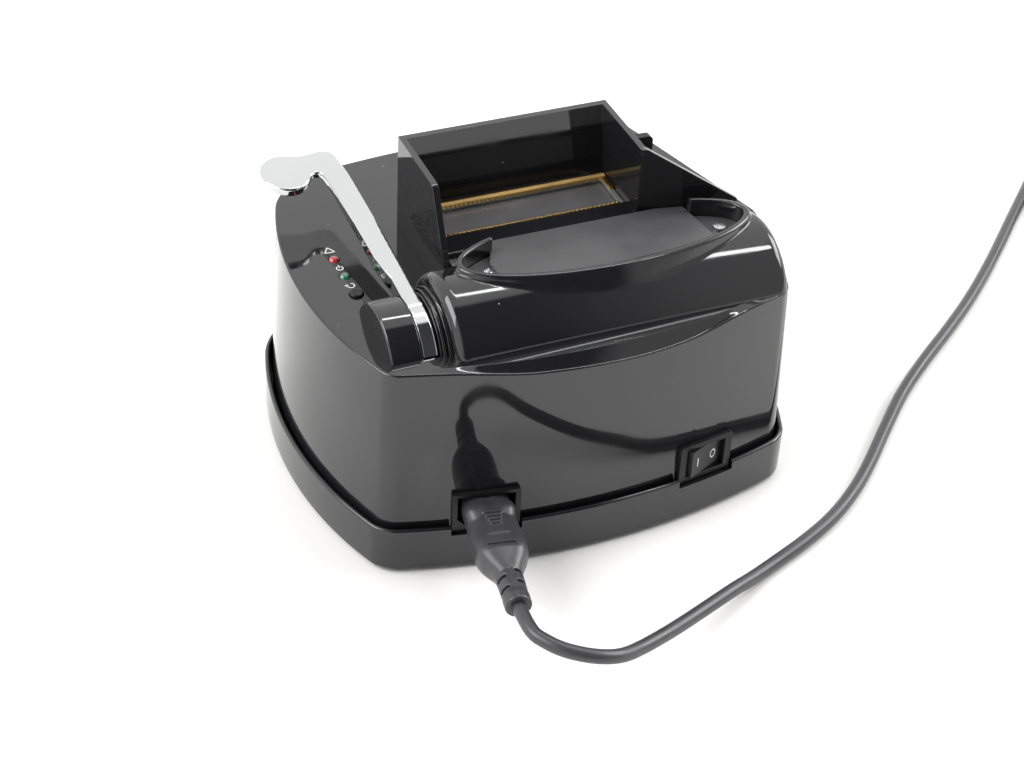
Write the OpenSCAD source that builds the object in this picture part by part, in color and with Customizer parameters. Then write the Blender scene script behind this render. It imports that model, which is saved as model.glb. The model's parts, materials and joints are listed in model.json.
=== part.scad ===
// Desk-top electric tube filling machine: a glossy case in a shallow tray, a hopper over a
// press chamber, a hand lever that closes the press, and a motor that drives the filling spoon.
// +X is the lever side, +Y is the rear with the mains inlet, +Z is up; z = 0 is the floor.

/* [Tray and case] */
// Width of the tray at its widest
tray_w = 220; // [210:1:230]
// Depth of the tray from front to rear
tray_d = 182; // [176:1:190]
// Height of the tray rim above the floor
tray_h = 22.9; // [20:0.1:26]
// Radius of the bulge along each side
side_r = 185; // [170:1:220]
// Radius of the bulge along the rear
rear_r = 308; // [280:1:350]
// Radius of the bulge along the front
front_r = 450; // [400:1:500]
// Corner radius at the rear
rear_corner_r = 5; // [3:0.5:8]
// Corner radius at the front
front_corner_r = 22; // [15:1:26]
// Wall thickness of the tray
tray_wall = 2.2; // [1.8:0.1:2.4]
// Height of the flat deck above the floor
deck_h = 98.3; // [97.8:0.1:98.8]
// Wall thickness of the case
case_wall = 2.6; // [2:0.1:3]
// Thickness of the deck
deck_t = 2.8; // [2.4:0.1:2.9]
// Distance from the tray's outer face to the case at its foot
foot_inset = 2.8; // [2.5:0.1:3.2]
// Distance from the tray's outer face to the case at the deck
deck_inset = 6.3; // [5:0.1:7]

/* [Drum and lever] */
// Height of the lever shaft above the floor
shaft_z = 90; // [89.8:0.1:90.2]
// Distance of the lever shaft behind the middle of the case
shaft_y = 45.5; // [45:0.1:46]
// Radius of the lever shaft
shaft_r = 5; // [4.5:0.1:5.2]
// Outer radius of the drum cover
drum_r = 28.5; // [28:0.1:29]
// Left end of the drum cover
drum_x0 = -89; // [-90:0.5:-88]
// Right end of the drum cover
drum_x1 = 60; // [59:0.5:60]
// Radius of the lever's round boss
ring_r = 20.3; // [19:0.1:20.6]
// Radius of the fixed cap outside the lever
cap_r = 21.4; // [20.6:0.1:22]

/* [Hopper and chamber] */
// Height of the hopper rim above the floor
hopper_h = 142.5; // [130:0.5:150]
// Front face of the hopper
hopper_y = -28; // [-29:0.5:-27.5]
// Distance of the filling axis behind the middle of the case
fill_y = -13; // [-13.2:0.1:-12.8]
// Height of the filling axis above the floor
fill_z = 103; // [102.8:0.1:103.2]
// Radius of the press chamber
chamber_r = 3.6; // [3.5:0.05:3.7]

/* [Oval tray] */
// Height of the oval rim above the floor
oval_z = 121; // [120:0.5:123]
// Half length of the oval
oval_a = 65.6; // [64:0.2:67]
// Half width of the oval
oval_b = 21.2; // [20.5:0.1:22]
// Thickness of the oval rim
oval_wall = 3; // [2.5:0.1:3.2]

/* [Gears] */
// Tooth module of both racks and their pinions
gear_module = 1.5; // [1.5:0.5:1.5]
// Teeth on each press pinion
press_teeth = 18; // [18:1:18]
// Teeth on the drive pinion
drive_teeth = 16; // [16:1:16]

/* [Mains lead] */
// Diameter of the lead
lead_d = 6; // [5.8:0.1:6.2]
// Middle radius of the coiled length
coil_r = 36; // [34:0.5:36]

/* [Hidden] */

$fn = 64;
eps = 0.01;
gap = 0.3;

tray_floor = 4;
foot_h = 1.5;
deck_under = deck_h - deck_t;
bevel_from = [-101, 5];
bevel_turn = -74.3;
bevel_tilt = 52;
post_rear = [87, 64];
post_front = [80, -66];
posts = [post_rear, [-post_rear[0], post_rear[1]], post_front, [-post_front[0], post_front[1]]];

// rear fittings sit square to the bulged rear wall, 50 mm either side of the middle
fitting_x = 50;
fitting_z = 29;
fitting_r = rear_r - (foot_inset + (deck_inset - foot_inset) * fitting_z / deck_h);
fitting_turn = asin(fitting_x / fitting_r);
fitting_y = tray_d / 2 - rear_r + fitting_r * cos(fitting_turn);
inlet_size = [28.8, 19.2];
inlet_hole = [24.4, 16];
switch_size = [26.6, 19.4];
rocker_size = [19.2, 13.6];

// hopper mouth over the press chamber
mouth_x0 = -43;
mouth_x1 = 46;
mouth_y0 = -18.2;
mouth_y1 = 5;
jaw_top = 110;
plate_top = 108.5;
plate_under = 105.9;
sill_z = 109;
wall_t = 2.7;

// oval tray on the drum
oval_x = -17.5;
oval_y = 39;
skirt_grow = 5.9;
skirt_z = 104;
bowl_z = 111;
chute_x0 = -62.5;
chute_x1 = 24.5;

// lever
ring_x0 = 65;
ring_x1 = 71.6;
cap_x0 = 72;
cap_x1 = 85.3;

// gears
press_r = gear_module * press_teeth / 2;
drive_r = gear_module * drive_teeth / 2;
tooth_gap = 0.35;
pinion_xs = [-36, 20];
drive_x = -21;
drive_z = 64;
rack_pitch_z = drive_z + drive_r;
rod_z = 84;
rod_r = 3;

// hinge of the tube clamp
clamp_pivot = [0, -1, 112];

// indicators and reset button on the deck
led_red_xy = [82.9, -11.8];
led_green_xy = [82.7, 1.3];
reset_xy = [82.3, 14.8];
board_z = 84;
board_t = 1.6;

// mains lead: from the plug's relief down to the floor, then away to the side
plug_reach = 58.5;
lead_r = lead_d / 2;
relief_end = [
  fitting_x + (plug_reach + 1.8) * sin(fitting_turn),
  fitting_y + (plug_reach + 1.8) * cos(fitting_turn),
  fitting_z
];
coil_at = [-382.1, -83.4];
coil_turn = 40;
route = [
  [60.2, 156.3, 28.8], [57.4, 162.7, 28.5], [52.9, 168.2, 27.9], [46.9, 172.2, 26.9],
  [40.2, 174.5, 25.3], [33.2, 174.7, 23.1], [26.5, 172.9, 20.6], [20.2, 170, 18.4],
  [13.8, 167.1, 16.7], [1.1, 161, 13.8], [-11.5, 154.6, 11.2], [-24.2, 148.3, 9.1],
  [-37, 142.1, 7.2], [-49.7, 135.8, 4.5], [-62.7, 129.9, 3.3], [-82.4, 121.6, 3.2],
  [-101.3, 111.8, 3.1], [-118.6, 99.5, 3.1], [-134.4, 85.5, 3.1], [-154.3, 65.6, 3.1],
  [-174.5, 46.1, 3.1], [-196.3, 28.4, 3.1], [-218.8, 11.7, 3.1], [-241, -5.5, 3.1],
  [-262.2, -23.7, 3.1], [-282.8, -42.7, 3.1], [-303, -62.1, 3.1], [-320.4, -78.6, 3.1],
  [-337.8, -95.2, 3.1], [-355.2, -111.7, 3.1]
];
// from the coil's upper turns to the far plug
tail_x = coil_at[0] - coil_r - lead_r;
tail_route = [
  [tail_x, coil_at[1], 15.1], [tail_x, coil_at[1] + 16, 15.1], [tail_x, coil_at[1] + 32, 14.6],
  [tail_x, coil_at[1] + 48, 13.9], [tail_x, coil_at[1] + 60, 13.5]
];
plug_at = [tail_x, coil_at[1] + 60, 13.5];

// ---------- shared shapes ----------

// plan outline with four bulged sides, inset from the tray's outer face;
// stretch moves the rear bulge back
module bulged(inset, stretch) {
  intersection() {
    translate([tray_w / 2 - side_r, 0]) circle(r = side_r - inset, $fn = 120);
    translate([side_r - tray_w / 2, 0]) circle(r = side_r - inset, $fn = 120);
    translate([0, tray_d / 2 - rear_r + stretch]) circle(r = rear_r - inset, $fn = 150);
    translate([0, front_r - tray_d / 2]) circle(r = front_r - inset, $fn = 200);
  }
}

// the whole footprint: tight corners at the rear, full corners at the front
module footprint(inset) {
  intersection() {
    offset(r = rear_corner_r, $fn = 32) offset(delta = -rear_corner_r) bulged(inset, 0);
    offset(r = front_corner_r, $fn = 48) offset(delta = -front_corner_r) bulged(inset, 60);
  }
}

module rounded_rect(w, h, r) {
  offset(r = r, $fn = 32) square([w - 2 * r, h - 2 * r], center = true);
}

// a box given by its low and high corners
module block(low, high) {
  translate(low) cube(high - low);
}

// a cylinder along X between two ends
module bar_x(x0, x1, y, z, r) {
  translate([x0, y, z]) rotate([0, 90, 0]) cylinder(h = x1 - x0, r = r);
}

module bar_y(x, y0, y1, z, r) {
  translate([x, y0, z]) rotate([-90, 0, 0]) cylinder(h = y1 - y0, r = r);
}

// a side profile drawn as [y, z] points, given a width along X
module profile_x(x0, x1, points) {
  translate([x0, 0, 0]) rotate([90, 0, 90]) linear_extrude(x1 - x0) polygon(points);
}

// local frame of a rear fitting: origin on the wall, +Y straight out
module at_rear(side) {
  translate([side * fitting_x, fitting_y, fitting_z]) rotate([0, 0, -side * fitting_turn]) children();
}

// upright slab in a rear fitting's frame, from depth y0 to y1
module slab(y0, y1) {
  translate([0, y1, 0]) rotate([90, 0, 0]) linear_extrude(y1 - y0) children();
}

module oval(grow) {
  a = oval_a + grow;
  b = oval_b + grow;
  polygon([for (i = [0:71]) [a * cos(i * 5), b * sin(i * 5)]]);
}

// spur gear drawn flat, one tooth on +Y
module gear_2d(teeth) {
  r = gear_module * teeth / 2;
  half_tip = gear_module * 0.32;
  half_pitch = gear_module * PI / 4 - tooth_gap / 2;
  half_root = gear_module * 1.02;
  circle(r = r - 1.25 * gear_module);
  for (i = [0:teeth - 1])
    rotate(i * 360 / teeth)
      polygon([
        [-half_root, r - 1.3 * gear_module], [-half_pitch, r], [-half_tip, r + gear_module * 0.9],
        [half_tip, r + gear_module * 0.9], [half_pitch, r], [half_root, r - 1.3 * gear_module]
      ]);
}

// straight rack drawn flat: teeth point to -Y, pitch line on the X axis, one gap at x = 0
module rack_2d(x0, x1, back) {
  pitch = PI * gear_module;
  half_pitch = pitch / 4 - tooth_gap / 2;
  first = ceil((x0 + 2) / pitch - 0.5);
  last = floor((x1 - 2) / pitch - 0.5);
  translate([x0, gear_module * 1.25]) square([x1 - x0, back]);
  for (i = [first:last])
    translate([(i + 0.5) * pitch, 0])
      polygon([
        [-half_pitch - 0.68, gear_module * 1.3], [-half_pitch, 0],
        [-half_pitch + 0.5, -gear_module * 0.9], [half_pitch - 0.5, -gear_module * 0.9],
        [half_pitch, 0], [half_pitch + 0.68, gear_module * 1.3]
      ]);
}

// pan-head screw pointing up from its head's underside
module screw_up(shank_r, length, head_r, head_h) {
  cylinder(h = length, r = shank_r);
  translate([0, 0, -head_h])
    difference() {
      cylinder(h = head_h, r = head_r);
      translate([0, 0, -eps]) cylinder(h = head_h * 0.5, r = head_r * 0.4, $fn = 6);
    }
}

// ---------- case ----------

module rear_windows(extra) {
  at_rear(1) slab(-6, 6) square([inlet_size[0] + extra, inlet_size[1] + extra], center = true);
  at_rear(-1) slab(-6, 6) square([switch_size[0] + extra, switch_size[1] + extra], center = true);
}

module base_tray() {
  color([0.05, 0.05, 0.055])
    difference() {
      translate([0, 0, foot_h]) linear_extrude(tray_h - foot_h) footprint(0);
      translate([0, 0, tray_floor]) linear_extrude(tray_h) footprint(tray_wall);
      rear_windows(1.2);
      for (p = posts) {
        translate([p[0], p[1], 0]) cylinder(h = tray_h, r = 1.8);
        translate([p[0], p[1], 0]) cylinder(h = foot_h + 1.2, r = 3.6);
      }
    }
}

module feet() {
  color([0.12, 0.12, 0.12])
    for (x = [-1, 1], y = [-1, 1])
      translate([x * 70, y * 60, 0]) cylinder(h = foot_h, r = 7);
}

module base_screws() {
  color("silver")
    for (p = posts)
      translate([p[0], p[1], foot_h + 1.2]) screw_up(1.45, 12, 3.2, 1.1);
}

// everything inside the drafted outer skin, from the tray floor up
module case_skin(inset, top) {
  thin = 0.1;
  top_inset = foot_inset + (deck_inset - foot_inset) * (top - tray_floor) / (deck_h - tray_floor);
  hull() {
    translate([0, 0, tray_floor]) linear_extrude(thin) footprint(foot_inset + inset);
    translate([0, 0, top - thin]) linear_extrude(thin) footprint(top_inset + inset);
  }
}

// hollow along the rear edge of the deck, deepest near the middle
module rear_scoop() {
  intersection() {
    translate([0, 120, 0]) rotate([90, 0, 0]) linear_extrude(80)
      polygon([
        [-74, 98.3], [-66, 97.9], [-59, 96.7], [-50, 95], [-41, 93.3], [-29, 92.4], [-17, 92],
        [-5, 92.2], [7, 92.6], [18, 93.1], [29, 93.6], [37, 94.4], [50, 96.3], [62, 97.8],
        [74, 98.3], [74, 105], [-74, 105]
      ]);
    difference() {
      block([-120, 40, 85], [120, 120, 110]);
      hull() {
        translate([0, 0, 89.9]) linear_extrude(0.1) footprint(deck_inset - 0.1);
        translate([0, 0, deck_h]) linear_extrude(0.1) footprint(deck_inset + 3.9);
      }
    }
  }
}

// everything above the bevel at the front corner on the drive side
module side_bevel(depth) {
  translate([bevel_from[0], bevel_from[1], deck_h - depth]) rotate([0, 0, bevel_turn])
    rotate([bevel_tilt, 0, 0]) translate([-40, -60, 0]) cube([180, 60, 40]);
}

module case_shell() {
  color([0.04, 0.04, 0.045])
    difference() {
      union() {
        difference() {
          case_skin(0, deck_h);
          difference() {
            translate([0, 0, -eps]) case_skin(case_wall, deck_under + eps);
            block([-80, 76, 88.5], [80, 120, 120]);
            side_bevel(deck_t + 0.8);
          }
        }
        for (p = posts)
          translate([p[0], p[1], tray_floor]) cylinder(h = deck_h - tray_floor - 1, r = 4.5);
      }
      rear_scoop();
      side_bevel(0);
      // openings under the hopper, the drum and the lever's boss
      block([mouth_x0 - gap, -24.3, 90], [mouth_x1 + gap, 30, 110]);
      block([-82, 24.5, 90], [56, 66, 110]);
      block([ring_x0 - gap, 25, 90], [ring_x1 + gap, 66, 110]);
      rear_openings();
      translate([led_red_xy[0], led_red_xy[1], 90]) cylinder(h = 20, r = 2.6);
      translate([led_green_xy[0], led_green_xy[1], 90]) cylinder(h = 20, r = 2.6);
      translate([reset_xy[0], reset_xy[1], 90]) cylinder(h = 20, r = 3.25);
      for (p = posts)
        translate([p[0], p[1], 0]) cylinder(h = 20, r = 1.5);
      // slot in the lever side
      block([98, -40.4, 86.5], [112, -39.2, 96]);
    }
}

module rear_openings() {
  at_rear(1) slab(-12, 12) square([inlet_size[0] - 2.4, inlet_size[1] - 2], center = true);
  at_rear(-1) slab(-12, 12) square([switch_size[0] - 2.4, switch_size[1] - 2.4], center = true);
  // flat seats for the two flanges
  at_rear(1) slab(-0.4, 8) square([inlet_size[0] + 0.4, inlet_size[1] + 0.4], center = true);
  at_rear(-1) slab(-0.4, 8) square([switch_size[0] + 0.4, switch_size[1] + 0.4], center = true);
}

// ---------- hopper, drum and oval tray ----------

module drum_space(extra) {
  bar_x(drum_x0 - extra, drum_x1 + extra, shaft_y, shaft_z, drum_r + extra);
}

module hopper() {
  near_y = 12;
  lx0 = mouth_x1 + gap;
  lx1 = lx0 + wall_t;
  rx1 = mouth_x0 - gap;
  rx0 = rx1 - wall_t;
  color([0.05, 0.05, 0.055])
    difference() {
      union() {
        // front wall with the sloped panel inside it
        block([rx0, hopper_y, deck_h], [lx1, hopper_y + wall_t, hopper_h]);
        profile_x(rx1, lx0, [
          [hopper_y + wall_t - 0.5, hopper_h], [hopper_y + wall_t + 0.4, hopper_h],
          [mouth_y0 - 0.1, 112], [mouth_y0 - 0.1, jaw_top + 0.1], [mouth_y0 - 2.2, jaw_top + 0.1],
          [mouth_y0 - 2.2, 112], [hopper_y + wall_t - 0.5, 134]
        ]);
        // left wall, sloping down to the drum
        profile_x(lx0, lx1, [
          [hopper_y, deck_h], [hopper_y, hopper_h], [near_y - 1.5, hopper_h], [near_y + 1, hopper_h - 1.5],
          [27, 112], [27, deck_h]
        ]);
        // right wall
        profile_x(rx0, rx1, [
          [hopper_y, deck_h], [hopper_y, hopper_h], [near_y, hopper_h], [near_y + 3, hopper_h - 2],
          [near_y + 3, deck_h]
        ]);
        // wing from the right wall down to the end of the oval tray
        intersection() {
          linear_extrude(200)
            polygon([[rx1, near_y], [rx1, near_y + wall_t], [-86, 24.7], [-86, 22]]);
          translate([0, 60, 0]) rotate([90, 0, 0]) linear_extrude(100)
            polygon([[rx1, deck_h], [rx1, hopper_h], [rx0, hopper_h], [-86, 116], [-86, deck_h]]);
        }
        // sill behind the mouth
        block([rx1 - 1, mouth_y1, sill_z], [lx0 + 1, 17.5, sill_z + 2.2]);
      }
      drum_space(0.05);
      // way through for the nozzle and the spoon
      bar_x(rx0 - 1, rx1 + 1, fill_y, fill_z, 4.2);
    }
}

// oval island on the drum, flared on its rear side only
module oval_island() {
  translate([oval_x, oval_y, 0]) {
    intersection() {
      hull() {
        translate([0, 0, skirt_z]) linear_extrude(0.1) oval(skirt_grow);
        translate([0, 0, oval_z - 0.1]) linear_extrude(0.1) oval(0);
      }
      block([-90, 0, 90], [90, 50, 140]);
    }
    intersection() {
      translate([0, 0, skirt_z]) linear_extrude(oval_z - skirt_z) oval(0);
      block([-90, -50, 90], [90, eps, 140]);
    }
  }
}

module drum_cover() {
  color([0.05, 0.05, 0.055])
    difference() {
      union() {
        bar_x(drum_x0 + 2, drum_x1 - 2, shaft_y, shaft_z, drum_r);
        bar_x(drum_x0, drum_x1, shaft_y, shaft_z, drum_r - 2.5);
        oval_island();
      }
      // below the deck, and the hollow under the cover's roof
      block([-120, -20, 40], [120, 90, deck_h]);
      intersection() {
        bar_x(drum_x0 + 2.5, drum_x1 - 2.5, shaft_y, shaft_z, drum_r - 2.6);
        block([-120, 0, 90], [120, 90, sill_z]);
      }
      // bowl of the oval tray, open to the hopper between the rim's two ends
      translate([oval_x, oval_y, bowl_z]) linear_extrude(30) oval(-oval_wall);
      block([chute_x0, 0, bowl_z], [chute_x1 + 3, oval_y - 8, 140]);
      // way through for the press plate
      block([mouth_x0 - gap, 0, 90], [mouth_x1 + gap, 32, sill_z]);
      // screw holes under the chute plate's two ends
      for (x = [chute_x1 + 9, chute_x0 - 8])
        translate([x, oval_y, 100]) cylinder(h = 20, r = 1.2);
    }
}

module drum_collar() {
  color([0.03, 0.03, 0.03])
    intersection() {
      union() {
        bar_x(drum_x1 + 0.05, drum_x1 + 1.6, shaft_y, shaft_z, 23.6);
        bar_x(drum_x1 + 1.6, drum_x1 + 2.4, shaft_y, shaft_z, 22);
        bar_x(drum_x1 + 2.4, drum_x1 + 3.7, shaft_y, shaft_z, 22.8);
        bar_x(drum_x1 + 3.7, drum_x1 + 4.5, shaft_y, shaft_z, 21.4);
      }
      block([50, 0, deck_h], [80, 90, 130]);
    }
}

module hub_cap() {
  color([0.04, 0.04, 0.045])
    intersection() {
      difference() {
        union() {
          bar_x(cap_x0, cap_x1 - 1, shaft_y, shaft_z, cap_r);
          bar_x(cap_x0, cap_x1, shaft_y, shaft_z, cap_r - 1);
        }
        bar_x(cap_x0 - 1, cap_x1 - 2, shaft_y, shaft_z, cap_r - 2.4);
      }
      block([60, 0, deck_h], [100, 90, 130]);
    }
}

module chute_plate() {
  top_far = sill_z + 4.4;
  color([0.07, 0.07, 0.08])
    difference() {
      union() {
        // sloped tongue, from the rear of the bowl down to the mouth
        intersection() {
          profile_x(chute_x0, chute_x1 + 8, [
            [17, top_far - 1.6], [17, top_far], [60, oval_z - 1.5], [60, oval_z - 3.6]
          ]);
          linear_extrude(200)
            union() {
              polygon([[chute_x0, 19.8], [-51, 17], [chute_x1, 17], [chute_x1 + 8, 36], [chute_x0, 36]]);
              intersection() {
                translate([oval_x, oval_y]) oval(-oval_wall - 0.1);
                polygon([[chute_x0, 30], [chute_x1 + 5.5, 30], [chute_x1 + 8, 36],
                         [chute_x1 + 8, 70], [chute_x0, 70]]);
              }
            }
        }
        // two low ends of the plate, screwed to the bowl
        intersection() {
          translate([oval_x, oval_y, bowl_z]) linear_extrude(2) oval(-oval_wall - 0.1);
          union() {
            block([chute_x1 + 2, 0, bowl_z], [chute_x1 + 40, 80, bowl_z + 2]);
            block([chute_x0 - 40, 0, bowl_z], [chute_x0 + 2, 80, bowl_z + 2]);
          }
        }
        // side cheeks that join the tongue to the low ends
        intersection() {
          translate([oval_x, oval_y, bowl_z]) linear_extrude(20) oval(-oval_wall - 0.1);
          union() {
            profile_x(chute_x0, chute_x0 + 1.6, [[20, bowl_z], [20, top_far], [59, oval_z - 2], [59, bowl_z]]);
            profile_x(chute_x1 + 4.4, chute_x1 + 6, [[34, bowl_z], [34, 115.5], [59, oval_z - 2], [59, bowl_z]]);
          }
        }
      }
      for (x = [chute_x1 + 9, chute_x0 - 8])
        translate([x, oval_y, 100]) cylinder(h = 20, r = 1.6);
    }
}

module chute_screws() {
  color("silver")
    for (x = [chute_x1 + 9, chute_x0 - 8])
      translate([x, oval_y, bowl_z + 2]) mirror([0, 0, 1]) screw_up(1.15, 3.8, 2.6, 1.4);
}

// ---------- press ----------

module chamber_block() {
  color([0.75, 0.75, 0.72])
    difference() {
      union() {
        // floor in the deck opening, and the flange under the deck
        block([mouth_x0, -24, deck_under - 1], [mouth_x1, 24, fill_z - chamber_r - 0.8]);
        block([mouth_x0 - 7, -31, deck_under - 2.5], [mouth_x1 + 7, 24, deck_under]);
        // fixed jaw and two cheeks
        block([mouth_x0, -24, 98], [mouth_x1, fill_y, jaw_top]);
        block([mouth_x0, fill_y, 98], [mouth_x0 + 2.2, mouth_y1 - 1, jaw_top]);
        block([mouth_x1 - 2.2, fill_y, 98], [mouth_x1, mouth_y1 - 1, jaw_top]);
      }
      bar_x(mouth_x0 - 1, mouth_x1 - 2.2, fill_y, fill_z, chamber_r);
      // throat above the chamber, and the slot for the spoon's tail
      block([mouth_x0 + 2.2, fill_y - chamber_r, fill_z], [mouth_x1 - 2.2, fill_y + 1, jaw_top + 1]);
      block([-26, fill_y - 1.4, 80], [mouth_x1 - 2.2, fill_y + 1.4, fill_z]);
    }
}

module saw_edge(length, depth) {
  teeth = floor(length / 2);
  step = length / teeth;
  polygon(concat(
    [[0, 0], [length, 0], [length, depth - 0.6]],
    [for (i = [teeth - 1:-1:0], k = [0, 1])
      k == 0 ? [(i + 0.5) * step, depth] : [i * step, depth - 0.6]]
  ));
}

// serrated blade along the front of the mouth, with its short return at the right end
module front_blade() {
  color([0.83, 0.62, 0.22]) {
    translate([mouth_x0 + 0.2, mouth_y0, jaw_top]) linear_extrude(1.6)
      saw_edge(mouth_x1 - mouth_x0 - 0.4, 2.6);
    block([mouth_x0 + 0.2, mouth_y0 + 2, jaw_top], [mouth_x0 + 1.8, mouth_y0 + 11, jaw_top + 1.6]);
  }
}

// thin serrated scraper along the rear of the mouth
module rear_blade() {
  color([0.83, 0.62, 0.22])
    translate([mouth_x0 + 2.6, mouth_y1, sill_z + 0.2]) rotate([90, 0, 0]) linear_extrude(0.7)
      saw_edge(mouth_x1 - mouth_x0 - 5.2, 2.7);
}

module shaft_supports() {
  color([0.6, 0.6, 0.58])
    for (x = [-92, 56.5])
      difference() {
        block([x, shaft_y - 12.5, 78], [x + 7.8, shaft_y + 9.2, deck_under]);
        bar_x(x - 1, x + 9, shaft_y, shaft_z, 7);
        block([x - 1, shaft_y - 3, deck_under - 1.2], [x + 9, shaft_y + 3, deck_under + 1]);
      }
}

module shaft_bushes() {
  color([0.72, 0.5, 0.3])
    for (x = [-92, 56.5])
      difference() {
        bar_x(x, x + 7.8, shaft_y, shaft_z, 7);
        bar_x(x - 1, x + 9, shaft_y, shaft_z, shaft_r + 0.05);
        block([x - 1, shaft_y - 8, deck_under - 0.05], [x + 9, shaft_y + 8, 110]);
      }
}

// plan of the hand lever: narrow at the boss, then the arm, the neck and the thumb pad
module lever_plan() {
  offset(r = -3, $fn = 40) offset(delta = 3)
    union() {
      polygon([[ring_x0 + 0.2, 45.5], [ring_x1, 45.5], [ring_x1, 26], [74.2, 18], [74.4, -10],
               [75.8, -32], [77, -46], [77, -57], [67, -57], [65.6, -40], [65, -10], [65.2, 20]]);
      translate([71.8, -57]) circle(r = 5.2, $fn = 40);
      polygon([[74, -60.5], [86, -59.5], [86, -45], [74, -47]]);
      hull() {
        translate([90.5, -53.5]) circle(r = 11, $fn = 40);
        translate([91.5, -48.5]) circle(r = 10, $fn = 40);
      }
    }
}

module lever() {
  color([0.85, 0.86, 0.87]) {
    intersection() {
      linear_extrude(200) lever_plan();
      profile_x(60, 110, [
        [45.5, 104], [45.5, 110.4], [0, 115.2], [-40, 119.2], [-52, 120], [-66, 120],
        [-66, 117], [-52, 116.8], [-36, 114.6], [0, 108.6], [24, 104.6], [34, 103]
      ]);
    }
    difference() {
      bar_x(ring_x0, ring_x1, shaft_y, shaft_z, ring_r);
      bar_x(ring_x0 - 1, ring_x1 + 1, shaft_y, shaft_z, shaft_r);
    }
  }
}

module lever_shaft() {
  color("silver") bar_x(-94, ring_x1 + 3, shaft_y, shaft_z, shaft_r);
}

module press_pinions() {
  color([0.9, 0.9, 0.88])
    for (x = pinion_xs)
      translate([x, shaft_y, shaft_z]) rotate([90, 0, 90])
        linear_extrude(6)
          difference() {
            gear_2d(press_teeth);
            circle(r = shaft_r);
          }
}

module switch_cam() {
  color([0.85, 0.3, 0.15])
    difference() {
      union() {
        bar_x(44, 49, shaft_y, shaft_z, 8.5);
        translate([44, shaft_y, shaft_z]) rotate([90, 0, 90]) linear_extrude(5)
          polygon([[0, -8.5], [10.8, -3], [10.8, 3], [0, 8.5]]);
      }
      bar_x(40, 55, shaft_y, shaft_z, shaft_r);
    }
}

// moving jaw: dished top plate, hollow front face and two racks underneath
module press_jaw() {
  x0 = mouth_x0 + 2.6;
  x1 = mouth_x1 - 2.6;
  color([0.06, 0.06, 0.07])
    difference() {
      union() {
        block([x0, fill_y - chamber_r + gap, plate_under], [x1, 48, plate_top]);
        block([x0, fill_y + 0.4, fill_z - chamber_r + 0.1], [x1, 2, plate_top]);
        for (x = pinion_xs)
          translate([x, shaft_y, shaft_z + press_r]) rotate([90, 0, 90])
            linear_extrude(6) rack_2d(-20, 5, 1);
      }
      bar_x(x0 - 1, x1 + 1, fill_y, fill_z, chamber_r);
      // dish in the top plate under the mouth
      bar_x(x0 + 1, x1 - 1, -6, plate_top + 59, 60);
    }
}

// ---------- filling drive ----------

module spoon() {
  color("silver") {
    difference() {
      bar_x(mouth_x0, 43, fill_y, fill_z, chamber_r - 0.3);
      bar_x(mouth_x0 - 1, 41, fill_y, fill_z, chamber_r - 0.9);
      block([mouth_x0 - 1, fill_y - 5, fill_z], [41, fill_y + 5, fill_z + 5]);
      block([40, fill_y - 5, plate_under - gap], [44, fill_y + 5, fill_z + 5]);
    }
    block([40, fill_y - 0.9, rod_z + 8], [43, fill_y + 0.9, fill_z - 1]);
  }
}

module carriage() {
  color([0.9, 0.9, 0.88])
    difference() {
      union() {
        block([32, fill_y - 6, rod_z - 6], [52, fill_y + 6, rod_z + 6]);
        block([36, fill_y - 3, rod_z + 5], [47, fill_y + 3, rod_z + 8]);
        translate([drive_x, fill_y - 5.6, rack_pitch_z]) rotate([90, 0, 0])
          linear_extrude(5.6) rack_2d(-12, 73, 5);
        // striker for the end switch
        block([32, fill_y + 5, 80], [36, -1, 84]);
      }
      bar_x(20, 70, fill_y, rod_z, rod_r + 0.05);
    }
}

module guide_rod() {
  color("silver") bar_x(-92, 60, fill_y, rod_z, rod_r);
}

module rod_brackets() {
  color([0.6, 0.6, 0.58])
    for (x = [-92, 54])
      difference() {
        block([x, fill_y - 5, rod_z - 6], [x + 6, fill_y + 7, deck_under]);
        bar_x(x - 1, x + 7, fill_y, rod_z, rod_r);
      }
}

module nozzle() {
  x1 = mouth_x0 - gap - wall_t;
  color("silver")
    difference() {
      union() {
        bar_x(x1 - 20, x1 - 1, fill_y, fill_z, chamber_r + 0.5);
        bar_x(x1 - 1, x1 + 2.5, fill_y, fill_z, chamber_r + 0.4);
        block([x1 - 2, fill_y - 8, deck_h], [x1, fill_y + 8, fill_z + 9]);
      }
      bar_x(x1 - 21, x1 + 4, fill_y, fill_z, chamber_r);
    }
}

module clamp_bracket() {
  color([0.05, 0.05, 0.055])
    difference() {
      union() {
        block([-62.5, -5, deck_h], [-48.5, 6, deck_h + 2.5]);
        for (x = [-51, -62.5])
          profile_x(x, x + 2.5, [[-5, deck_h], [-4, 113], [-1, 115], [2, 113], [6, deck_h]]);
      }
      bar_x(-70, -40, clamp_pivot[1], clamp_pivot[2], 1.5);
    }
}

module clamp_pin() {
  color("silver") bar_x(-62.5, -48.5, clamp_pivot[1], clamp_pivot[2], 1.5);
}

// finger that holds the paper tube on the nozzle, lifted by its tab
module tube_clamp() {
  color([0.05, 0.05, 0.055])
    difference() {
      union() {
        bar_x(-59.6, -51.4, clamp_pivot[1], clamp_pivot[2], 3.2);
        profile_x(-59.6, -51.4, [[-1, 109], [-1, 115], [-11, 116], [-11, 110]]);
        // pad over the nozzle and the tab the user lifts
        block([-59.6, -16, 107.6], [-51.4, -10, 116]);
        translate([0, -10.5, 0]) rotate([90, 0, 0]) linear_extrude(3.5)
          translate([-55.5, 122]) rounded_rect(12.5, 19, 2.5);
      }
      bar_x(-70, -40, clamp_pivot[1], clamp_pivot[2], 1.55);
      bar_x(-70, -40, fill_y, fill_z, 4.5);
    }
}

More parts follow.
